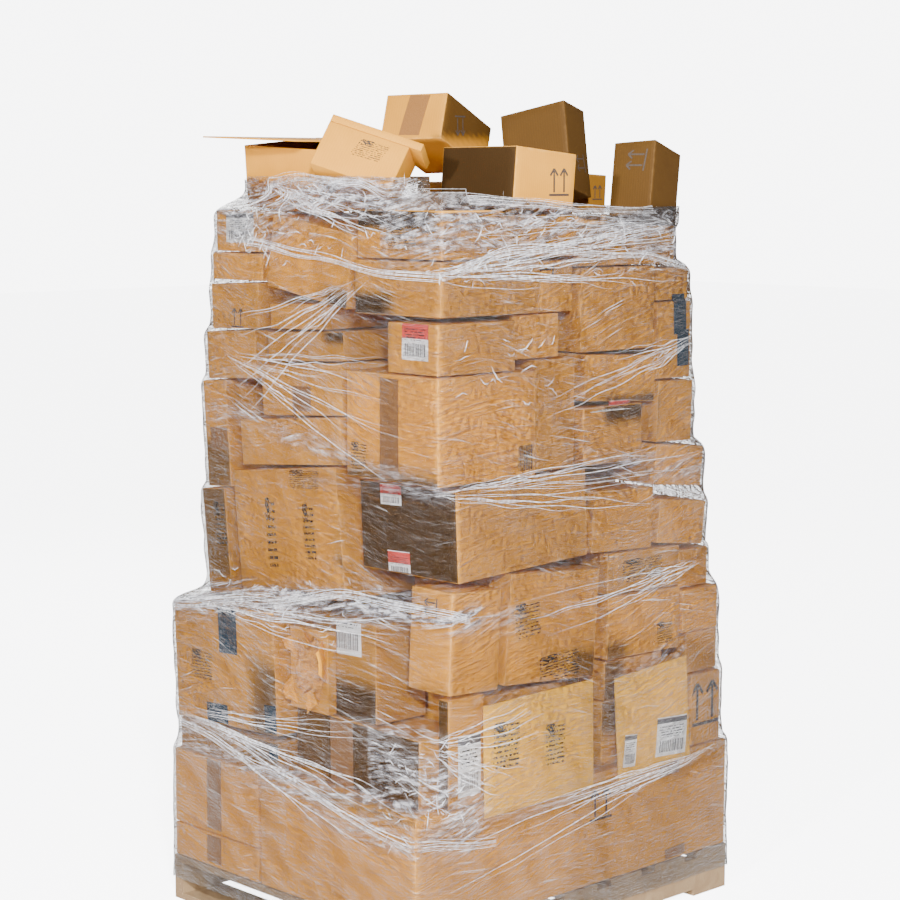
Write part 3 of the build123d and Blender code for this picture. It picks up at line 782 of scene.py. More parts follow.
class FilmShape:
    """The film's distance from the upright through the origin, by height and angle."""

    def __init__(self):
        film = settings()[1]
        self.film = film
        self.levels = np.arange(film.bottom, film.top_left + film.level_step, film.level_step)
        corners = [(x, y) for x in (PALLET_LOW.x, PALLET_HIGH.x) for y in (PALLET_LOW.y, PALLET_HIGH.y)]
        pallet_ring = hull_ring(np.array(corners))
        self.angles = np.linspace(-math.pi, math.pi, film.around, endpoint=False)
        rows = []
        for z in self.levels:
            found = section_points(z - film.level_step, z + film.level_step)
            ring = pallet_ring if z < PALLET_HIGH.z or not len(found) else hull_ring(found)
            rows.append(reach(ring, self.angles))
        loose = smooth_rows(np.array(rows), 1, 4)
        rng = np.random.default_rng(SEEDS["film"])
        wobble = np.zeros_like(loose)
        for _ in range(60):
            across, up = rng.integers(2, 40), rng.uniform(8, 110)
            size = 0.00042 * rng.uniform(0.3, 1) * 40 / (20 + up)
            phase = rng.uniform(0, 2 * math.pi)
            wobble += size * np.sin(across * self.angles[None, :] + up * self.levels[:, None] + phase)
        self.radius = loose + film.stand_off + np.maximum(wobble, 0.002 - film.stand_off)
        steps = np.abs(np.gradient(loose, axis=0)) / film.level_step
        self.gather = np.clip(steps * 0.45 - 0.10, 0, 0.6) + self.folds()
        self.edge = np.array([self.top_edge(x, y) for x, y in self.plan(len(self.levels) - 1)])

    def plan(self, row):
        return np.stack((self.radius[row] * np.cos(self.angles), self.radius[row] * np.sin(self.angles)), 1)

    def folds(self):
        """How far the film is gathered at each point, from the list of folds."""
        x = self.radius * np.cos(self.angles)
        y = self.radius * np.sin(self.angles)
        z = np.repeat(self.levels[:, None], len(self.angles), 1)
        total = np.zeros_like(x)
        for face, start, end, half, strength in FOLDS:
            on_left = face == "left"
            along = (y - NEAR.y) if on_left else (x - NEAR.x)
            away = (x - NEAR.x) if on_left else (y - NEAR.y)
            run = np.array(end) - np.array(start)
            share = ((along - start[0]) * run[0] + (z - start[1]) * run[1]) / (run @ run)
            share = np.clip(share, 0, 1)
            gap = np.hypot(along - start[0] - share * run[0], z - start[1] - share * run[1])
            total += np.where(away < FOLD_DEPTH, strength * np.exp(-(gap / half) ** 2), 0)
        return np.clip(total, 0, 0.85)

    def top_edge(self, x, y):
        """Height of the film's top edge at a place on the plan."""
        if x - NEAR.x < y - NEAR.y:
            places, along = TOP_LEFT, y - NEAR.y
        else:
            places, along = TOP_FRONT, x - NEAR.x
        share = np.interp(along, *zip(*places))
        return self.film.top + (self.film.top_left - self.film.top) * share

    def at(self, face, along, z, out=0.0):
        """The point of the film in front of a place on a face."""
        x, y = face_point(face, along)
        turn = (math.atan2(y, x) + math.pi) / (2 * math.pi) * len(self.angles)
        row = min(max((z - self.levels[0]) / self.film.level_step, 0), len(self.levels) - 1.001)
        i, j = int(row), int(turn) % len(self.angles)
        p, q = row - i, turn - int(turn)
        k = (j + 1) % len(self.angles)
        low = self.radius[i, j] * (1 - q) + self.radius[i, k] * q
        high = self.radius[i + 1, j] * (1 - q) + self.radius[i + 1, k] * q
        reach_out = low * (1 - p) + high * p + out
        angle = math.atan2(y, x)
        return Vector((reach_out * math.cos(angle), reach_out * math.sin(angle), z))


@lru_cache(maxsize=1)
def film_shape():
    return FilmShape()


class LOAD_OT_film(bpy.types.Operator):
    """Wrap the load in film that bridges its steps"""

    bl_idname = "pallet_load.film"
    bl_label = "Stretch film"

    def execute(self, context):
        shape = film_shape()
        count = len(shape.angles)
        material = film_material()
        ends = np.linspace(0, len(shape.levels) - 1, 5).astype(int)
        for number, (low, high) in enumerate(zip(ends, ends[1:]), start=1):
            obj = new_grid(count, int(high - low))
            obj.name = f"stretch_film_{number}"
            mesh = obj.data
            mesh.uv_layers.active.name = "film"
            places = np.empty(len(mesh.vertices) * 3)
            mesh.vertices.foreach_get("co", places)
            places = places.reshape(-1, 3)
            column = np.rint((places[:, 0] + 0.5) * count).astype(int)
            row = low + np.rint((places[:, 1] + 0.5) * (high - low)).astype(int)
            turn = column % count
            reach_out = shape.radius[row, turn]
            level = np.minimum(shape.levels[row], shape.edge[turn])
            ring = shape.plan(low)
            sides = np.diff(np.vstack((ring, ring[:1])), axis=0)
            arc = np.concatenate(([0], np.cumsum(np.hypot(*sides.T))))
            angle = shape.angles[turn]
            spots = np.stack((reach_out * np.cos(angle), reach_out * np.sin(angle), level), 1)
            mesh.vertices.foreach_set("co", spots.ravel())
            loops = np.empty(len(mesh.loops), int)
            mesh.loops.foreach_get("vertex_index", loops)
            flat = np.stack((arc[column[loops]], level[loops]), 1)
            mesh.uv_layers["film"].data.foreach_set("uv", flat.ravel())
            gather = mesh.attributes.new("gather", "FLOAT", "POINT")
            gather.data.foreach_set("value", shape.gather[row, turn])
            with editing(obj):
                bpy.ops.mesh.remove_doubles(threshold=WELD)
                bpy.ops.mesh.normals_make_consistent(inside=False)
            bpy.ops.object.shade_smooth()
            finish_piece(obj, material, "stretch_film", *(FILM if number == 1 else ()))
        return {"FINISHED"}


# Pulled pleats: face, where they start and the line that they spread to, how many, and their thickness
FANS = (
    ("left", (1.02, 0.56), (0.02, 0.72), (0.02, 0.22), 26, 0.0011),
    ("left", (1.00, 0.88), (0.05, 0.99), (0.05, 0.80), 16, 0.0012),
    ("left", (0.86, 2.02), (0.02, 2.00), (0.05, 1.84), 22, 0.0011),
    ("left", (0.97, 1.56), (0.05, 1.62), (0.10, 1.20), 20, 0.0009),
    ("left", (0.20, 1.80), (0.95, 1.72), (0.95, 1.30), 14, 0.0009),
    ("front", (0.01, 1.80), (1.05, 1.96), (1.10, 1.70), 26, 0.0012),
    ("front", (1.05, 1.92), (0.10, 1.95), (0.05, 1.76), 18, 0.0010),
    ("front", (0.02, 1.26), (1.12, 1.34), (1.12, 1.05), 20, 0.0009),
    ("front", (1.14, 1.62), (0.40, 1.55), (0.30, 1.30), 12, 0.0009),
    ("front", (0.01, 0.62), (0.50, 0.74), (0.40, 0.36), 16, 0.0011),
    ("front", (1.15, 0.98), (0.30, 0.98), (0.45, 0.76), 14, 0.0009),
    ("front", (1.19, 0.44), (0.05, 0.40), (0.10, 0.16), 14, 0.0009),
)

# Short crinkles, milky white partly as real crinkled film and partly as painted highlight where the film
# glints: face, low and high corner of the patch, how many
CRINKLES = (
    ("left", (0.60, 1.82), (0.93, 1.96), 46),
    ("left", (0.05, 1.86), (0.85, 2.03), 70),
    ("front", (0.02, 1.78), (0.60, 1.98), 70),
    ("front", (0.60, 1.76), (1.10, 1.93), 34),
    ("front", (0.00, 0.40), (0.20, 0.64), 40),
    ("left", (0.00, 0.36), (0.12, 0.62), 22),
    ("left", (0.30, 0.84), (0.98, 0.98), 30),
    ("front", (0.10, 1.46), (0.50, 1.66), 16),
)

# Rolled edges of the film: (along, height) of their points on the left face, then on the front
ROPES = (
    (((0.98, 1.975), (0.86, 2.03), (0.55, 2.045), (0.25, 2.03), (0.02, 1.995)),
     ((0.10, 1.985), (0.42, 1.975), (0.62, 1.962), (1.10, 1.955))),
    (((1.00, 0.86), (0.70, 0.90), (0.30, 0.955), (0.02, 0.95)), ((0.20, 0.93),)),
    (((1.01, 0.52), (0.60, 0.46), (0.02, 0.37)), ((0.30, 0.33),)),
    ((), ((0.02, 1.80), (0.35, 1.86), (0.80, 1.84), (1.12, 1.80))),
    (((0.90, 1.87), (0.50, 1.84), (0.05, 1.80)), ((0.05, 1.79),)),
)


class LOAD_OT_pleats(bpy.types.Operator):
    """Draw the film's pulled pleats, crinkles and rolled edges"""

    bl_idname = "pallet_load.pleats"
    bl_label = "Film pleats"

    def execute(self, context):
        rng = np.random.default_rng(SEEDS["pleats"])
        pleats = []
        for face, start, first, last, count, thick in FANS:
            for _ in range(count):
                share, reach_out = rng.uniform(0, 1), rng.uniform(0.35, 1.0)
                end = [first[i] + (last[i] - first[i]) * share for i in (0, 1)]
                begin = rng.uniform(0, 0.25)
                way = [(start[i] + (end[i] - start[i]) * begin, start[i] + (end[i] - start[i]) * reach_out)
                       for i in (0, 1)]
                pleats.append(self.pleat(rng, face, way, 26, 0.006, thick * rng.uniform(0.5, 1.5)))
        crinkles = []
        for face, low, high, count in CRINKLES:
            for _ in range(count):
                spot = [rng.uniform(low[i], high[i]) for i in (0, 1)]
                turn, length = rng.normal(0, 0.55), rng.uniform(0.012, 0.060)
                way = [(spot[0], spot[0] + length * math.cos(turn)),
                       (spot[1], spot[1] + length * math.sin(turn))]
                crinkles.append(self.pleat(rng, face, way, 7, 0.003, rng.uniform(0.0006, 0.0018)))
        ropes = [self.rope(rng, points, spread)
                 for points in ROPES for spread in np.linspace(-1, 1, STRANDS_OF_ROPE)]
        material = strand_material()
        for name, runs in (("film_pleats", pleats), ("film_crinkles", crinkles), ("film_ropes", ropes)):
            self.tubes(context, name, runs, material)
        return {"FINISHED"}

    def pleat(self, rng, face, way, count, sway, thick):
        """One fine fold as points and thicknesses, thin at both ends."""
        shape = film_shape()
        bow, phase, waves = rng.uniform(-1, 1) * sway * 3, rng.uniform(0, 6), rng.uniform(1, 4)
        run = []
        for i in range(count):
            t = i / (count - 1)
            along = way[0][0] + (way[0][1] - way[0][0]) * t
            z = way[1][0] + (way[1][1] - way[1][0]) * t
            z += bow * math.sin(math.pi * t) + sway * 0.5 * math.sin(waves * 6 * t + phase)
            run.append((shape.at(face, along, z, PLEAT_LIFT), thick * math.sin(math.pi * (0.04 + 0.92 * t))))
        return run

    def rope(self, rng, points, spread):
        """One strand of a rolled edge that follows points on the two faces."""
        shape = film_shape()
        spots = [shape.at(face, along, z, ROPE_LIFT)
                 for face, part in zip(("left", "front"), points) for along, z in part]
        run = []
        waves = [(rng.uniform(3, 14), rng.uniform(0, 6)) for _ in range(3)]
        thick = rng.uniform(0.0004, 0.0012)
        gone = 0.0
        for start, end in zip(spots, spots[1:]):
            length = (end - start).length
            count = max(4, int(length / 0.015))
            for i in range(count):
                t = i / count
                z = start.z + (end.z - start.z) * (3 * t * t - 2 * t ** 3)
                x, y = start.x + (end.x - start.x) * t, start.y + (end.y - start.y) * t
                face = "left" if x - NEAR.x < y - NEAR.y else "front"
                along = (y - NEAR.y) if face == "left" else (x - NEAR.x)
                way = gone + length * t
                sway = sum(math.sin(rate * way + phase) for rate, phase in waves) / 3
                z += 0.011 * spread * (1 + 0.5 * sway) + 0.005 * sway
                run.append((shape.at(face, along, z, ROPE_LIFT), thick * (1 + 0.5 * sway)))
            gone += length
        return run

    def tubes(self, context, name, runs, material):
        """Make every run of points a thin tube, all in one piece."""
        curve = bpy.data.curves.new(name, "CURVE")
        curve.dimensions = "3D"
        curve.bevel_depth = 1.0
        curve.bevel_resolution = 0
        curve.use_fill_caps = True
        for run in runs:
            spline = curve.splines.new("POLY")
            spline.points.add(len(run) - 1)
            for point, (spot, size) in zip(spline.points, run):
                point.co = (*spot, 1)
                point.radius = size
        obj = bpy.data.objects.new(name, curve)
        context.scene.collection.objects.link(obj)
        only(obj)
        bpy.ops.object.convert(target="MESH")
        bpy.ops.object.shade_smooth()
        finish_piece(context.object, material, "stretch_film")


class LOAD_OT_cartons(bpy.types.Operator):
    """Model every closed carton of the heap and the base"""

    bl_idname = "pallet_load.cartons"
    bl_label = "Cartons"

    def execute(self, context):
        material = board_material()
        rng = np.random.default_rng(SEEDS["cartons"])
        for name in CLOSED:
            shade = DARKENED_CARTONS.get(name, 1.0)
            pieces = [model_carton(name, *place, rng, shade) for place in loose_solids(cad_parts[name])]
            slot = "base_cardboard" if name.startswith("base_") else "cardboard"
            finish_piece(join(pieces, f"{name}_board"), material, slot, name)
        return {"FINISHED"}


# Torn board that folds out of the hole: places round the face as shares of half
# its width and height, start and end of the fold, and where the tip points.
TORN_FLAPS = (
    ((-0.90, -0.30), (-0.66, 0.80), (-1.02, 0.30), 0.030),
    ((0.90, 0.75), (0.68, 0.25), (1.04, 0.62), 0.024),
    ((-0.15, 0.58), (0.30, 0.90), (0.02, 1.00), 0.020),
    ((0.90, -0.20), (0.60, -0.90), (1.00, -0.66), 0.026),
    ((-0.45, -0.78), (0.10, -0.56), (-0.20, -1.02), 0.018),
)


class LOAD_OT_open_cartons(bpy.types.Operator):
    """Model the open, lidded and torn cartons, and the torn one's packing paper"""

    bl_idname = "pallet_load.open_cartons"
    bl_label = "Open and torn cartons"

    def execute(self, context):
        material = board_material()
        rng = np.random.default_rng(SEEDS["open_cartons"])
        for name in COPIED:
            obj = copy_solid(name)
            turn = loose_solids(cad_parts[name])[0][1]
            apply(obj, "BEVEL", width=0.0011, segments=2, limit_method="ANGLE", angle_limit=math.radians(40))
            board_uv(obj, rng, turn)
            shade_board(obj, rng)
            pieces = [obj]
            if name == "torn_carton":
                pieces += [self.flap(*flap, rng) for flap in TORN_FLAPS]
            board = join(pieces, f"{name}_board")
            smooth(board, 35)
            finish_piece(board, material, "cardboard", name)
        self.paper()
        return {"FINISHED"}

    def flap(self, start, end, tip, out, rng):
        """A tongue of torn board, hinged on the edge of the hole."""
        low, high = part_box("torn_carton")
        middle, half = (low + high) / 2, (high - low) / 2
        spots = [Vector((low.x, middle.y + y * half.y, middle.z + z * half.z)) for y, z in (start, end, tip)]
        spots[2].x -= out
        obj = new_grid(6, 6)
        for vert in obj.data.vertices:
            u, v = vert.co.x + 0.5, vert.co.y + 0.5
            base = spots[0].lerp(spots[1], u)
            spot = base.lerp(spots[2], v * (0.55 + 0.45 * (1 - abs(2 * u - 1))))
            spot.x = base.x - out * v ** 1.8 + 0.002 * math.sin(9 * u + 7 * v)
            vert.co = spot
        apply(obj, "SOLIDIFY", thickness=0.003, offset=0)
        board_uv(obj, rng)
        shade_board(obj, rng, 1.12)
        return obj

    def paper(self):
        """Packing paper that swells out of the torn side, all in creases."""
        obj = copy_solid(PAPER)
        with editing(obj):
            bpy.ops.mesh.quads_convert_to_tris()
            bpy.ops.mesh.subdivide(number_cuts=6)
            bpy.ops.mesh.subdivide(number_cuts=2)
        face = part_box("torn_carton")[0].x
        for vert, normal in [(v, v.normal.copy()) for v in obj.data.vertices]:
            cell = noise.voronoi(vert.co * 42)[0]
            ridge = min(1.0, (cell[1] - cell[0]) * 1.4)
            fine = noise.voronoi(vert.co * 95)[0]
            lift = 0.014 * ridge + 0.004 * min(1.0, fine[1] - fine[0]) - 0.010
            outside = min(1.0, max(0.0, (face + 0.004 - vert.co.x) / 0.008))
            vert.co += normal * lift * outside
        obj.name = "crumpled_paper_wad"
        smooth(obj, 28)
        finish_piece(obj, paper_material(), "packing_paper", PAPER)


# Tape, labels and prints of each kind: carton, face, (along, height) of the middle
# from the near corner, (width, height) and turn in degrees. Metres.
PATCHES = {
    "brown_tape": (
        ("base_side_cartons", "left", (0.831, 0.330), (0.064, 0.210), 0),
        ("base_side_cartons", "left", (0.834, 0.172), (0.064, 0.090), 0),
        ("near_corner_tier_4", "left", (0.183, 1.415), (0.070, 0.292), 0),
        ("left_middle_stack", "left", (0.566, 1.443), (0.076, 0.092), 2),
        ("left_end_stack", "left", (0.917, 1.318), (0.100, 0.064), 3),
        ("left_low_cartons", "left", (0.353, 0.525), (0.090, 0.200), 1),
        ("taped_top_carton", "left", (0.490, 2.215), (0.060, 0.120), -1),
        ("base_carton", "front", (0.970, 0.398), (0.082, 0.044), 3),
        ("base_carton", "front", (0.997, 0.150), (0.084, 0.030), 3),
    ),
    "dark_tape": (
        ("left_low_cartons", "left", (0.763, 0.812), (0.080, 0.128), 3),
        ("left_low_cartons", "left", (0.811, 0.560), (0.094, 0.080), 3),
        ("left_low_cartons", "left", (0.571, 0.560), (0.060, 0.150), 3),
        ("front_end_stack", "front", (0.998, 1.669), (0.052, 0.110), 1),
        ("front_end_stack", "front", (1.012, 1.576), (0.050, 0.100), 1),
    ),
    "shipping_label": (
        ("near_corner_tier_1", "left", (0.060, 0.860), (0.080, 0.120), 0),
        ("left_low_cartons", "left", (0.330, 0.880), (0.110, 0.150), 2),
        ("left_end_stack", "left", (0.830, 1.905), (0.120, 0.080), 0),
        ("near_corner_tier_1", "front", (0.190, 0.550), (0.080, 0.160), 0),
        ("padded_mailer_narrow", "front", (0.950, 0.498), (0.130, 0.110), -4),
        ("padded_mailer_narrow", "front", (0.778, 0.485), (0.046, 0.090), -4),
        ("left_middle_stack", "left", (0.690, 1.720), (0.050, 0.050), 6),
    ),
    "red_label": (
        ("near_corner_tier_5", "left", (0.085, 1.640), (0.096, 0.104), 0),
        ("near_corner_tier_3", "left", (0.246, 1.228), (0.080, 0.054), 2),
        ("near_corner_tier_3", "left", (0.222, 1.048), (0.084, 0.068), 2),
        ("front_middle_stack", "front", (0.725, 1.436), (0.236, 0.026), 0),
    ),
    "barcode": (
        ("near_corner_tier_4", "front", (0.392, 1.325), (0.058, 0.066), 0),
        ("left_low_cartons", "left", (0.126, 0.654), (0.058, 0.056), 0),
        ("front_end_stack", "front", (0.956, 0.795), (0.040, 0.048), 0),
    ),
    "small_print": (
        ("left_middle_stack", "left", (0.540, 1.100), (0.045, 0.150), 6),
        ("left_middle_stack", "left", (0.700, 1.080), (0.040, 0.190), 6),
        ("near_corner_tier_1", "front", (0.560, 0.880), (0.100, 0.090), 2),
        ("near_corner_tier_2", "front", (0.400, 0.900), (0.090, 0.090), 4),
        ("near_corner_tier_2", "front", (0.520, 0.760), (0.150, 0.070), 4),
        ("front_middle_stack", "front", (0.850, 0.980), (0.160, 0.060), 1),
        ("front_middle_stack", "front", (0.940, 0.790), (0.060, 0.060), 1),
        ("padded_mailer_wide", "front", (0.300, 0.590), (0.090, 0.120), -1),
        ("padded_mailer_wide", "front", (0.480, 0.560), (0.070, 0.110), -1),
        ("tilted_lid_carton", "left", (0.330, 2.110), (0.070, 0.040), -18),
        ("left_middle_stack", "left", (0.560, 1.240), (0.120, 0.050), 5),
        ("left_low_cartons", "left", (0.880, 0.700), (0.090, 0.080), 2),
        ("left_low_cartons", "left", (0.200, 0.520), (0.070, 0.090), 0),
        ("near_corner_tier_4", "left", (0.300, 1.330), (0.060, 0.070), 0),
        ("left_end_stack", "left", (0.930, 1.080), (0.050, 0.120), 6),
        ("near_corner_tier_7", "left", (0.150, 1.900), (0.110, 0.060), 0),
    ),
}

# Cartons drawn darker than the rest: factors on their board colour
DARKENED_CARTONS = {
    "end_top_carton": 0.14, "wrapped_top_carton": 0.13, "small_top_carton_1": 0.4, "left_low_cartons": 0.75,
}

# Painted shade, drawn into the board's colour on the parts of the faces that stand back in their
# neighbours' shade: face, reach along, reach upwards, depth and factor
SHADES = (
    ("left", (-0.05, 0.42), (1.00, 1.31), 0.20, 0.09),
    ("left", (-0.05, 0.42), (0.42, 0.75), 0.17, 0.14),
    ("left", (0.18, 0.48), (1.60, 1.76), 0.16, 0.08),
    ("left", (0.42, 0.66), (0.46, 0.76), 0.16, 0.22),
    ("left", (0.86, 1.04), (0.92, 1.32), 0.16, 0.28),
    ("left", (0.02, 0.42), (1.90, 2.16), 0.48, 0.05),
    ("front", (0.42, 0.76), (2.135, 2.32), 0.60, 0.16),
    ("front", (0.68, 0.92), (1.38, 1.47), 0.16, 0.12),
    ("front", (0.55, 0.80), (0.52, 0.80), 0.10, 0.30),
)

# This way up: carton, face, (along, height) of the middle, size, turn in degrees
ARROWS = (
    ("near_corner_tier_6", "front", (0.462, 1.823), 0.070, 90),
    ("front_middle_stack", "front", (0.520, 1.505), 0.056, 0),
    ("front_end_stack", "front", (1.120, 0.560), 0.130, 0),
    ("near_corner_tier_2", "left", (0.082, 0.957), 0.050, 90),
    ("base_carton", "front", (0.686, 0.350), 0.090, 0),
    ("taped_top_carton", "front", (0.560, 2.180), 0.056, 180),
    ("wrapped_top_carton", "front", (0.850, 2.080), 0.050, 90),
    ("leaning_top_carton", "front", (0.600, 2.030), 0.075, 0),
    ("small_top_carton_1", "front", (0.978, 2.000), 0.042, 0),
    ("end_top_carton", "left", (0.150, 2.090), 0.060, 90),
    ("left_end_stack", "left", (0.840, 1.660), 0.055, 0),
)


def pieces_of_arrows():
    """The strokes of a pair of upright arrows on a bar, in a square of side one."""
    strokes = [((0.0, -0.46), (1.0, 0.075), 0)]
    for middle in (-0.25, 0.25):
        strokes.append(((middle, 0.0), (0.075, 0.74), 0))
        for side in (-1, 1):
            strokes.append(((middle + side * 0.095, 0.33), (0.075, 0.30), side * 38))
    return strokes


def pieces_of_barcode(rng):
    """Upright bars of uneven width, side by side in a square of side one."""
    strokes, place = [], -0.5
    while place < 0.46:
        width = rng.choice((0.02, 0.035, 0.06))
        strokes.append(((place + width / 2, 0.0), (width, 1.0), 0))
        place += width + rng.choice((0.025, 0.045))
    return strokes


def lay_patch(target, face, middle, size, turn, thick=TAPE_THICK):
    """A thin sheet laid on a carton: a grid shot at the face and stuck where it lands."""
    obj = new_grid(*(max(2, min(24, int(side / SHEET_CELL))) for side in size))
    obj.data.uv_layers.active.name = "patch"
    x, y = face_point(face, middle[0], 0.30)
    across, outward = ((0, -1, 0), (-1, 0, 0)) if face == "left" else ((1, 0, 0), (0, -1, 0))
    stand = Matrix((across, (0, 0, 1), outward)).transposed().to_4x4()
    lean = Matrix.Rotation(math.radians(turn), 4, "Z")
    spot = Matrix.Translation((x, y, middle[1]))
    obj.data.transform(spot @ stand @ lean @ Matrix.Diagonal((*size, 1, 1)))
    axis = 0 if face == "left" else 1
    begin = obj.data.vertices[0].co[axis]
    apply(obj, "SHRINKWRAP", target=target, wrap_method="PROJECT", use_project_x=axis == 0,
          use_project_y=axis == 1, use_negative_direction=False, use_positive_direction=True,
          offset=SHEET_LIFT)
    with editing(obj):
        shape = bmesh.from_edit_mesh(obj.data)
        missed = [vert for vert in shape.verts if abs(vert.co[axis] - begin) < 1e-4]
        bmesh.ops.delete(shape, geom=missed, context="VERTS")
        depths = sorted(vert.co[axis] for vert in shape.verts)
        if depths:
            usual = depths[len(depths) // 2]
            stray = [edge for edge in shape.edges
                     if abs(edge.verts[0].co[axis] - edge.verts[1].co[axis]) > LARGEST_STEP]
            bmesh.ops.delete(shape, geom=stray, context="EDGES")
            apart = [vert for vert in shape.verts if abs(vert.co[axis] - usual) > FURTHEST_OFF]
            bmesh.ops.delete(shape, geom=apart, context="VERTS")
        bmesh.update_edit_mesh(obj.data)
    if not obj.data.polygons:
        bpy.data.objects.remove(obj)
        return []
    apply(obj, "SOLIDIFY", thickness=thick, offset=1)
    return [obj]


class LOAD_OT_patches(bpy.types.Operator):
    """Stick on the tape and labels and print the plain marks"""

    bl_idname = "pallet_load.patches"
    bl_label = "Tape, labels and marks"

    def execute(self, context):
        rng = np.random.default_rng(SEEDS["patches"])
        sheets = {}
        for kind, patches in PATCHES.items():
            inked = kind == "barcode"
            made = sheets.setdefault("printed_ink" if inked else kind, [])
            for carton, *patch in patches:
                if inked:
                    made += self.mark(carton, *patch, pieces_of_barcode(rng))
                else:
                    made += lay_patch(self.target(carton), *patch)
        for carton, face, middle, size, turn in ARROWS:
            sheets["printed_ink"] += self.mark(carton, face, middle, (size, size), turn, pieces_of_arrows())
        materials = {
            "brown_tape": tape_material("brown_tape", (0.20, 0.085, 0.018), 0.38, 0.4),
            "dark_tape": tape_material("dark_tape", (0.012, 0.030, 0.052), 0.22, 0.1),
            "shipping_label": label_material("shipping_label", (0.10, 0.10, 0.11)),
            "red_label": label_material("red_label", (0.62, 0.05, 0.04), 0.52),
            "printed_ink": ink_material(),
            "small_print": print_material(),
        }
        for kind, made in sheets.items():
            finish_piece(join(made, f"{kind}s"), materials[kind])
        return {"FINISHED"}

    def target(self, carton):
        """The visible piece that stands for a carton's node."""
        for ending in ("board", "paper"):
            if f"{carton}_{ending}" in bpy.data.objects:
                return bpy.data.objects[f"{carton}_{ending}"]
        raise KeyError(carton)

    def mark(self, carton, face, middle, size, turn, strokes):
        """The strokes of a mark, turned with the mark."""
        angle = math.radians(turn)
        made = []
        for place, share, lean in strokes:
            across, up = place[0] * size[0], place[1] * size[1]
            right = across * math.cos(angle) - up * math.sin(angle)
            rise = across * math.sin(angle) + up * math.cos(angle)
            along = middle[0] - right if face == "left" else middle[0] + right
            stroke = (share[0] * size[0], share[1] * size[1])
            made += lay_patch(self.target(carton), face, (along, middle[1] + rise), stroke,
                              turn + lean, INK_THICK)
        return made


class LOAD_OT_mailers(bpy.types.Operator):
    """Model the two padded mailers"""

    bl_idname = "pallet_load.mailers"
    bl_label = "Padded mailers"

    def execute(self, context):
        material = mailer_material()
        for name in MAILERS:
            centre, turn, size = loose_solids(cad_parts[name])[0]
            obj = new_cube(f"{name}_paper", size)
            with editing(obj):
                bpy.ops.mesh.subdivide(number_cuts=31)
            for vert in obj.data.vertices:
                x, z = abs(vert.co.x) / size.x * 2, abs(vert.co.z) / size.z * 2
                pad = (1 - x ** 5) * (1 - z ** 5)
                lumps = 0.5 + 0.5 * math.sin(vert.co.x * 90) * math.sin(vert.co.z * 84)
                fold = noise.noise(vert.co * 14 + centre * 9)
                vert.co.y *= 0.13 + 0.66 * pad + (0.12 * lumps + 0.09 * fold) * pad
                rim = max(x, z)
                if rim > 0.93:
                    vert.co.x *= 1 - 0.006 * (1 + fold)
            obj.data.transform(Matrix.Translation(centre) @ turn.to_4x4())
            smooth(obj, 50)
            finish_piece(obj, material, "mailer_paper", name)
        return {"FINISHED"}


class LOAD_OT_pallet(bpy.types.Operator):
    """Give the pallet its wood"""

    bl_idname = "pallet_load.pallet"
    bl_label = "Pallet"

    def execute(self, context):
        material = wood_material()
        for name in PALLET:
            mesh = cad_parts[name].data
            mesh.materials.clear()
            mesh.materials.append(material)
        return {"FINISHED"}


# Lamps: place, size of the square and power in watts
LIGHTS = {
    "key": ((-4.3, -5.2, 3.5), 0.40, 1180),
    "flash": ((-6.2, -2.6, 3.3), 0.30, 520),
    "side_fill": ((3.6, -5.0, 3.4), 1.6, 60),
    "left_fill": ((-5.5, 3.0, 3.0), 1.6, 35),
    "back": ((2.5, 5.0, 4.0), 2.5, 210),
}
LAMP_AIM = Vector((0, 0, 1.1))
FLOOR_GLOW = 0.9


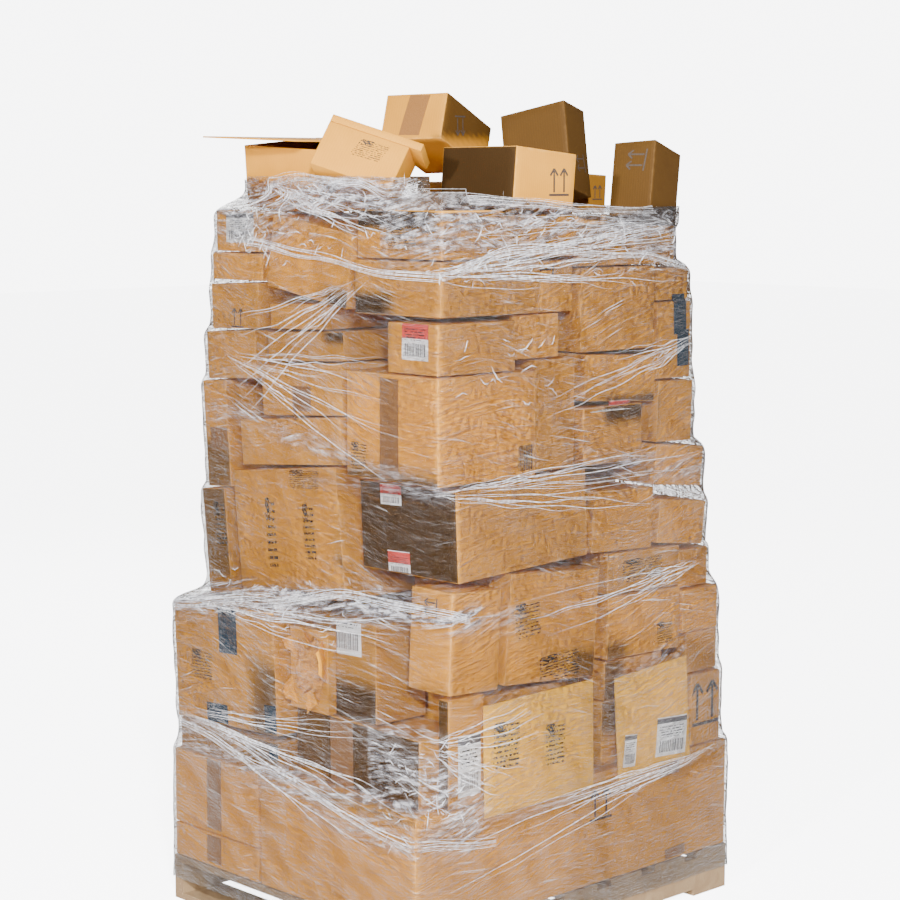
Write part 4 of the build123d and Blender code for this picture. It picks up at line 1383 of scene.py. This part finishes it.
class LOAD_OT_stage(bpy.types.Operator):
    """Set up the floor, the light and the camera"""

    bl_idname = "pallet_load.stage"
    bl_label = "Stage"

    def execute(self, context):
        stage = settings()[2]
        scene = context.scene
        graph = Graph.of_material("pale_stage")
        shine = graph.times(graph.add("LightPath", out="Is Camera Ray"), stage.glow * FLOOR_GLOW)
        material = graph.finish(graph.principled(
            stage.backdrop, 0.9, Emission_Color=stage.backdrop, Emission_Strength=shine))
        deselect()
        bpy.ops.mesh.primitive_plane_add(size=60, location=(0, 0, -0.0005))
        floor = context.object
        floor.name = "floor"
        floor.data.materials.append(material)

        camera = bpy.data.objects.new("camera", bpy.data.cameras.new("camera"))
        scene.collection.objects.link(camera)
        camera.location = stage.camera_place
        camera.rotation_euler = (stage.camera_tilt, 0, stage.camera_turn)
        camera.data.lens = stage.lens
        camera.data.sensor_width = 36
        camera.data.clip_end = 200
        scene.camera = camera

        for name, (place, size, power) in LIGHTS.items():
            lamp = bpy.data.lights.new(name, "AREA")
            lamp.size = size
            lamp.energy = power
            obj = bpy.data.objects.new(name, lamp)
            scene.collection.objects.link(obj)
            obj.location = place
            obj.rotation_euler = (LAMP_AIM - Vector(place)).to_track_quat("-Z", "Y").to_euler()
        world = bpy.data.worlds.new("studio")
        world.use_nodes = True
        graph = Graph(world.node_tree)
        sky = graph.nodes["Background"].inputs
        eye = graph.add("LightPath", out="Is Camera Ray")
        graph.put(sky[0], stage.backdrop)
        graph.put(sky[1], graph.scaled(eye, stage.glow - stage.daylight, stage.daylight))
        scene.world = world
        return {"FINISHED"}


class LOAD_PT_panel(bpy.types.Panel):
    """Lists the steps that dress the load"""

    bl_label = "Pallet load"
    bl_space_type = "VIEW_3D"
    bl_region_type = "UI"
    bl_category = "Pallet load"

    def draw(self, context):
        for operator in OPERATORS:
            self.layout.operator(operator.bl_idname)


OPERATORS = (
    LOAD_OT_stage, LOAD_OT_pallet, LOAD_OT_cartons, LOAD_OT_open_cartons, LOAD_OT_mailers,
    LOAD_OT_patches, LOAD_OT_film, LOAD_OT_pleats,
)
GROUPS = {"load_board": LoadBoard, "load_film": LoadFilm, "load_stage": LoadStage}


def register():
    for name, group in GROUPS.items():
        bpy.utils.register_class(group)
        setattr(bpy.types.Scene, name, bpy.props.PointerProperty(type=group))
    for operator in OPERATORS:
        bpy.utils.register_class(operator)
    bpy.utils.register_class(LOAD_PT_panel)


def unregister():
    bpy.utils.unregister_class(LOAD_PT_panel)
    for operator in reversed(OPERATORS):
        bpy.utils.unregister_class(operator)
    for name, group in GROUPS.items():
        delattr(bpy.types.Scene, name)
        bpy.utils.unregister_class(group)


def main():
    register()
    bpy.ops.pallet_load.stage()
    bpy.ops.pallet_load.pallet()
    bpy.ops.pallet_load.cartons()
    bpy.ops.pallet_load.open_cartons()
    bpy.ops.pallet_load.mailers()
    bpy.ops.pallet_load.patches()
    bpy.ops.pallet_load.film()
    bpy.ops.pallet_load.pleats()


if __name__ == "__main__":
    main()
